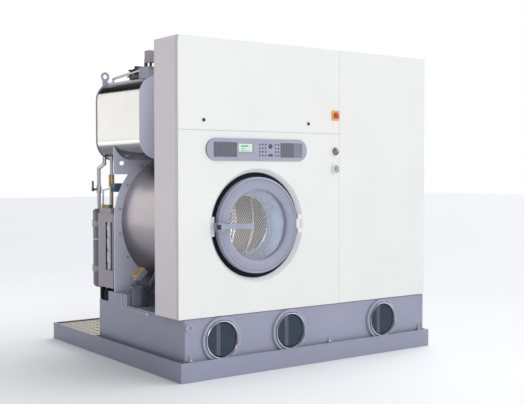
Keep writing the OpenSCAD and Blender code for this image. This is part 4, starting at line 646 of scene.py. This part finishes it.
dressed("cage_shell", ["perforated", "bright"], 1.0, cageFinish, cageUv)
piece("cageHoops", cageHoops(cage), "cage", ["bright"])
dressed("walkway_grating", ["zinc", "grating"], 0.5, lambda c, n: n[:, 2] > change["walkwayUp"], walkwayUv)

# door opening: neck, relief of the ring, glass, pivot of the handle
neck = {"flangeR": 345, "flangeT": 6, "outR": (245, 195), "inR": (241.6, 192), "y": (-861.5, -741.5),
        "lip": 8, "lipIn": 2, "endGap": 0.3}
glass = {"r": 236, "y": (-899.5, -887.5), "crown": 1.2, "frontEdge": 1.5, "rearEdge": 1}
pivot = {"x": (-784.3, -765), "y": (-957, -942), "z": (911.7, 944.3)}
# raised rim, a groove in dark paint as painted shade, flat face, and an inner rim that slopes to the glass:
# look, then radius and depth
doorRelief = {
    "rim": (1, [(304.3, -919.2), (298, -923.4), (290, -923.6), (289, -921.6), (288, -918.6), (303, -918.6)]),
    "groove": (2, [(290, -918.4), (290, -921.5), (285.6, -921.5), (285.6, -918.4)]),
    "face": (0, [(286, -918.4), (286, -922.2), (250, -922.2), (250, -918.4)]),
    "slope": (1, [(251, -918.4), (251, -922.2), (243, -922.0), (229.6, -911.6), (229.6, -910.2),
                  (238, -918.4)]),
}


def neckProfile(v):
    # flange, a rolled mouth, and a cone that narrows towards the drum
    y0, y1 = v["y"]
    end = y1 - v["endGap"]
    t = np.linspace(0, np.pi / 2, 9)
    mouth = np.stack([v["inR"][0] - v["lipIn"] + v["lip"] * (1 - np.sin(t)),
                      y0 + v["lip"] * (1 - np.cos(t))], -1)
    back = y0 + v["flangeT"]
    return np.concatenate([[(v["flangeR"], back), (v["flangeR"], y0)], mouth,
                           [(v["inR"][1], end), (v["outR"][1], end), (v["outR"][0], back)]])


def paneProfile(v):
    # a disc whose front bulges by the crown times the square of its share of the radius, with ground edges
    r = np.linspace(0, v["r"] - v["frontEdge"], 14)
    front = np.stack([r, v["y"][0] + v["crown"] * (r / v["r"]) ** 2], -1)
    rear = v["y"][1]
    return np.concatenate([front, [(v["r"], front[-1, 1] + v["frontEdge"]), (v["r"], rear - v["rearEdge"]),
                                   (v["r"] - v["rearEdge"], rear), (0, rear)]])


piece("loadingNeckSkin", [lathe(*doorAxis, neckProfile(neck), 0, 128)], "machine",
      ["neckSteel"], ("loading_neck",))
piece("doorRingFace", [lathe(*doorAxis, profile, look, 160) for look, profile in doorRelief.values()],
      "door", ["ringFace", "greyPaint", "vesselPaint"])
piece("doorPaneSkin", [lathe(*doorAxis, paneProfile(glass), 0, 128, closed=False)], "door",
      ["doorPane"], ("door_glass",))
piece("handlePivot", [block(*pivot["x"], *pivot["y"], *pivot["z"], 0, 1.2, 3)], "handle",
      ["blackPlastic"])
print("door opening made")

# controls: screen, legend fields, marks and glass of the gauge
screen = {"x": (-612, -496), "z": (1379, 1443), "lit": (-609, -508, 1391, 1440), "litY": (-918.8, -917.0),
          "y": (-919.4, -916.5), "strokeY": (-919.3, -918.9), "strokeShare": 0.62, "margin": 20,
          "rows": ((1426, 9, 56, 9), (1411, 6, 34, 4), (1399, 8, 60, 3))}  # place, strokes, length, height
legends = {"fields": ((-795, -624, 3), (-287, -180, 3), (-179, -111, 4)), "z": (1357.5, 1448.5),
           "y": (-919.2, -916.5), "step": 17, "rows": 9}


def screenStrokes(v):
    # short dark strokes in rows, standing for any reading
    out = []
    for z, count, length, tall in v["rows"]:
        step = length / count
        for i in range(count):
            x = v["x"][0] + v["margin"] + i * step
            stroke = rect(x, x + step * v["strokeShare"], z - tall / 2, z + tall / 2)
            out.append(plate(stroke, *v["strokeY"], 1, edge=0))
    return out


def legendFields(v):
    # each field is ruled into cells of about one step by a ninth of its height
    za, zb = v["z"]
    out = []
    for a, b, look in v["fields"]:
        cells = ((b - a) / max(2, round((b - a) / v["step"])), (zb - za) / v["rows"])
        out.append(plate(rect(a, b, za, zb, 1.5), *v["y"], look, edge=0.5, uvScale=cells))
    return out


def screenPlates(v):
    # the lit field, and the frame round it
    lit = rect(*v["lit"], 1)
    return [plate(lit, *v["litY"], 0, edge=0, uvScale=(2, 2)),
            plate(rect(*v["x"], *v["z"], 2), *v["y"], 2, [lit], 0.6)]


def gaugeMarks(v):
    # ticks at equal angles over the sweep, every fifth one longer
    longIn, shortIn, out = v["tickR"]
    deep, high = v["tickHalf"]
    s = []
    for i in range(v["ticks"]):
        angle = v["first"] - v["sweep"] * i / (v["ticks"] - 1)
        mark = block(shortIn if i % 5 else longIn, out, -deep, deep, -high, high, 0, 0)
        s.append(moved(mark, turnAbout("Y", -angle), (v["x"], v["tickY"], v["z"])))
    return s


piece("displaySkin", screenPlates(screen) + legendFields(legends) + screenStrokes(screen), "machine",
      ["screenLit", "keyPlastic", "framePaint", "legend", "legendPale"],
      ("display_windows",), merge=False)
piece("gaugeTicks", gaugeMarks(gauge), "machine", ["blackPlastic"], merge=False)
gaugePane = lathe((gauge["x"], 0, gauge["z"]), (0, 1, 0), disc(gauge["paneR"], *gauge["paneY"]), 0, 48,
                  closed=False)
piece("gaugeGlass", [gaugePane], "machine", ["gaugePane"])
print("controls made")

# tank front: drain socket, clamps, sights and their ladders
tankFace = plan["tankY"] - skinGap
socket = {"x": -968, "z": 322, "r": 24, "hexR": 15, "out": 9, "hexOut": 5}
clamp = {"x": (-962, 130, 974), "barHalf": 22, "barY": -925, "barZ": (120.3, 124.3), "stemHalf": 4,
         "stemY": -908, "stemZ": (124, 156), "boltY": -914, "boltR": 8, "boltH": 7, "washerR": 11}
sights = {"x": (-733, -200, 615), "z": 230}
# flange with a raised rim, bright bead, dark groove, dark seal behind the glass: look, radius and depth
sightRelief = {
    "flange": (0, [(111.7, tankFace), (142, tankFace), (142, -912), (138.5, -915.5), (122, -915.5),
                   (120, -916.5), (118, -919.5), (111.7, -919.5)]),
    "bead": (1, [(112.2, -919.3), (112.9, -921.6), (114.6, -922.4), (116.3, -921.6), (117, -919.3)]),
    "groove": (2, [(118, -916.6), (118, -919), (121.5, -917.2), (121.5, -915.2)]),
    "seal": (2, washer(111.3, 100.6, -902.3, -901.3)),
}
ladder = {"sides": (-7.5, 7.5), "z": (24, 352, 14.0), "y": -871.6,
          "bead": [(0, 0), (4.4, 0), (3.4, 1.6), (0, 2.2)]}


def drainSocket(v):
    # a collar with a six-sided plug
    at = ((v["x"], plan["tankY"], v["z"]), toFront)
    return [lathe(*at, washer(v["r"], v["hexR"], 0, v["out"]), 0, 40, 2.0),
            lathe(*at, disc(v["hexR"], 0, v["hexOut"]), 2, 6)]


def tankClamps(v):
    # at each split a flat bar, a stem above it and a bolt
    s = []
    for x in v["x"]:
        s.append(block(x - v["barHalf"], x + v["barHalf"], v["barY"], tankFace, *v["barZ"]))
        s.append(block(x - v["stemHalf"], x + v["stemHalf"], v["stemY"], tankFace, *v["stemZ"]))
        s += hexHead((x, v["boltY"], v["barZ"][1]), upwards, v["boltR"], v["boltH"], 1, v["washerR"])
    return s


def sightRings(v):
    return [lathe((x, 0, v["z"]), (0, 1, 0), profile, look, 96)
            for x in v["x"] for look, profile in sightRelief.values()]


def ladderDots(v):
    # two columns of small raised beads on every ladder
    return [lathe((x + side, v["y"], z), toFront, v["bead"], 0, 10)
            for x in sights["x"] for side in v["sides"] for z in np.arange(*v["z"])]


piece("tankFittings", drainSocket(socket) + tankClamps(clamp), "machine",
      ["boltSteel", "zinc", "greyPaint"])
piece("sightFlangeSkin", sightRings(sights), "machine", ["greyPaint", "bright", "rubber"],
      ("sight_flanges",))
piece("ladderDots", ladderDots(ladder), "machine", ["recessPaint"], merge=False)

# two flat fields on the switch's upper left face: ends, half width, thickness
switchFields = {"fields": ((-559, -476, 36, 0.5), (-546, -497, 24, 0.8)), "middle": -17.5, "height": 21.0,
                "turn": -45}


def switchLabel(v):
    # drawn flat as if over the drum's axis, then turned to the switch's slope
    turn = turnAbout("Y", v["turn"])
    out = []
    for look, (u0, u1, half, thick) in enumerate(v["fields"]):
        field = rect(u0, u1, v["middle"] - half, v["middle"] + half, 3)
        s = plate(field, v["height"], v["height"] + thick, look, edge=0.2, plane="xy")
        out.append(moved(s, turn, doorAxis[0]))
    return out


piece("switchLabel", switchLabel(switchFields), "machine", ["labelYellow", "labelOrange"])

# cooler: seam of its vessel, lagged tube, lower hoses, covers of the frame's legs
vesselSeam = {"at": (-895, 376.8, 0), "profile": [(81.7, 785), (83.4, 787), (83.4, 791), (81.7, 793)]}
lagging = {"at": (-951, 166, 0), "z": (560, 950), "r": 25, "waves": ((1.6, 17.0), (1.3, 7.3))}
hoses = {"r": 10, "bend": 24, "paths": (
    ((-966, 96, 462), (-968, 108, 420), (-958, 150, 398), (-930, 176, 392)),
    ((-946, 262, 462), (-950, 250, 424), (-942, 214, 404), (-925, 190, 400)),
    ((-972, 190, 462), (-974, 200, 430), (-960, 226, 410), (-936, 240, 404)))}
legCovers = (((-988, -951), (145, 182), (373, 461)), ((-988, -951), (227, 264), (373, 461)),
             ((-982, -956), (182.5, 226.5), (378, 436)))


def foilTube(v):
    # a round bar whose radius waves with its height, by two sines of different length
    z = np.linspace(*v["z"], 60)
    r = v["r"] + sum(high * np.sin(z / long) for high, long in v["waves"])
    points = [(0, v["z"][0])] + list(zip(r, z)) + [(0, v["z"][1])]
    return lathe(v["at"], upwards, points, 0, 40, closed=False)


piece("vesselSeam", [lathe(vesselSeam["at"], upwards, vesselSeam["profile"])], "machine",
      ["foil"])
piece("foilTube", [foilTube(lagging)], "machine", ["foil"], sharp=60)
piece("lowerHoses", [tube(path, hoses["r"], 0, hoses["bend"], 14) for path in hoses["paths"]], "machine",
      ["rubber"])
piece("legCovers", [block(*x, *y, *z, 0, 3, 6) for x, y, z in legCovers], "machine",
      ["rubber"])

# on the air box: small stop valves with their wheels, and thin pipes with radius and bend
boxTop = {
    "valves": ((-820, 96, 0), (-822, 30, 1), (-818, -40, 0)),
    "body": [(0, 1899.5), (13, 1899.5), (13, 1918), (18, 1921), (18, 1944), (13, 1948), (9, 1966), (0, 1966)],
    "wheel": [(0, 1966), (20, 1966), (24, 1970), (20, 1975), (0, 1975)],
    "pipes": ((6, 20, ((-822, 150, 1932), (-822, -170, 1932), (-760, -210, 1932), (-700, -210, 1932))),
              (5, 12, ((-790, 180, 1902), (-790, 180, 1916), (-790, 120, 1916), (-790, -230, 1916)))),
}
# two thin painted shadow strips along the side panel's front fold
fold = {"y": (-897, -884), "half": 0.7, "z": (plan["tankTop"] + 7, plan["topZ"] - 2),
        "x": (plan["panelX"] - 0.5, plan["panelX"] + skinGap)}


def topFittings(v):
    s = []
    for x, y, look in v["valves"]:
        s.append(lathe((x, y, 0), upwards, v["body"], look, 24, closed=False))
        s.append(lathe((x, y, 0), upwards, v["wheel"], 2, 8, closed=False))
    return s + [tube(path, r, 3, bend, 12) for r, bend, path in v["pipes"]]


def foldStrips(v):
    return [plate(rect(y - v["half"], y + v["half"], *v["z"]), *v["x"], edge=0, plane="yz") for y in v["y"]]


piece("topFittings", topFittings(boxTop), "machine", ["darkPaint", "brass", "rubber", "zinc"])
piece("panelFoldShadows", foldStrips(fold), "machine", ["framePaint"], merge=False)
print("fittings made")

# floor and light: lamps by place, target, size, power and spread; world by direction
studio = {
    "floor": 40.0, "floorZ": -0.0008,
    "key": ((-3.2, -8.0, 2.7), (-0.1, -0.8, 1.2), 3.0, 110, 180),
    "back": ((-3.5, 4.0, 2.0), (-0.9, 0.0, 1.6), 3.0, 34, 180),
    "door": ((-0.458, -0.868, 0.96), (-0.458, 0.0, 0.90), 0.30, 0.6, 180),
    "cage": ((-0.458, -0.715, 1.0), (-0.40, 0.0, 0.90), 0.24, 1.5, 180),
    "world": {"even": 0.06, "up": 0.70, "back": -0.4, "left": 0.05, "right": 2.5},
}


def makeFloor(v):
    # a flat grid whose far edge lies beyond the view
    n = 3
    side = np.linspace(-v["floor"], v["floor"], n)
    x, y = np.meshgrid(side, side, indexing="ij")
    pts = np.stack([x, y, np.full_like(x, v["floorZ"])], -1).reshape(-1, 3)
    mesh = bpy.data.meshes.new("studioFloor")
    mesh.from_pydata(pts.tolist(), [], gridFaces(n, n))
    mat, add = newMaterial("floorPale")
    coord = add("ShaderNodeTexCoord").outputs["Object"]
    cloud = add("ShaderNodeTexNoise", {"Vector": coord, "Scale": 0.6, "Detail": 2.0})
    tone = add("ShaderNodeMapRange", {"Value": cloud.outputs["Fac"], "To Min": 0.88, "To Max": 0.92})
    rough = add("ShaderNodeMapRange", {"Value": cloud.outputs["Fac"], "To Min": 0.7, "To Max": 0.8})
    skin = add("ShaderNodeBsdfPrincipled", {"Base Color": tone.outputs[0], "Roughness": rough.outputs[0]})
    add("ShaderNodeOutputMaterial", {"Surface": skin.outputs[0]})
    mesh.materials.append(mat)
    floor = bpy.data.objects.new("studioFloor", mesh)
    bpy.context.scene.collection.objects.link(floor)


def makeLight(name, place, target, size, power, spread):
    data = bpy.data.lights.new(name, "AREA")
    data.shape = "SQUARE"
    data.size = size
    data.energy = power
    data.spread = math.radians(spread)
    lamp = bpy.data.objects.new(name, data)
    lamp.visible_camera = False
    bpy.context.scene.collection.objects.link(lamp)
    lamp.location = place
    lamp.rotation_euler = (Vector(target) - Vector(place)).to_track_quat("-Z", "Y").to_euler()


def makeWorld(v):
    # an even part, and parts that grow upwards, to the back, left and right; white where the camera looks
    world = bpy.data.worlds.new("studio")
    bpy.context.scene.world = world
    world.use_nodes = True
    world.node_tree.nodes.clear()
    add = nodeAdder(world)
    way = add("ShaderNodeSeparateXYZ", {0: add("ShaderNodeTexCoord").outputs["Generated"]})
    total = v["even"]
    for name, axis, sign in (("up", 2, 1), ("back", 1, 1), ("left", 0, -1), ("right", 0, 1)):
        facing = maths(add, maths(add, way.outputs[axis], "MULTIPLY", sign), "MAXIMUM")
        total = maths(add, total, "ADD", maths(add, facing, "MULTIPLY", v[name]))
    light = add("ShaderNodeBackground", {"Strength": maths(add, total, "MAXIMUM")})
    light.inputs[0].default_value = (0.95, 0.97, 1.0, 1)
    seen = add("ShaderNodeBackground")
    seen.inputs[0].default_value = (1, 1, 1, 1)
    path = add("ShaderNodeLightPath")
    pick = add("ShaderNodeMixShader", {0: path.outputs["Is Camera Ray"], 1: light.outputs[0],
                                       2: seen.outputs[0]})
    add("ShaderNodeOutputWorld", {0: pick.outputs[0]})


makeFloor(studio)
for lampName in ("key", "back", "door", "cage"):
    makeLight(lampName, *studio[lampName])
makeWorld(studio["world"])
bpy.context.scene.view_settings.view_transform = "Standard"
print("floor and light made")
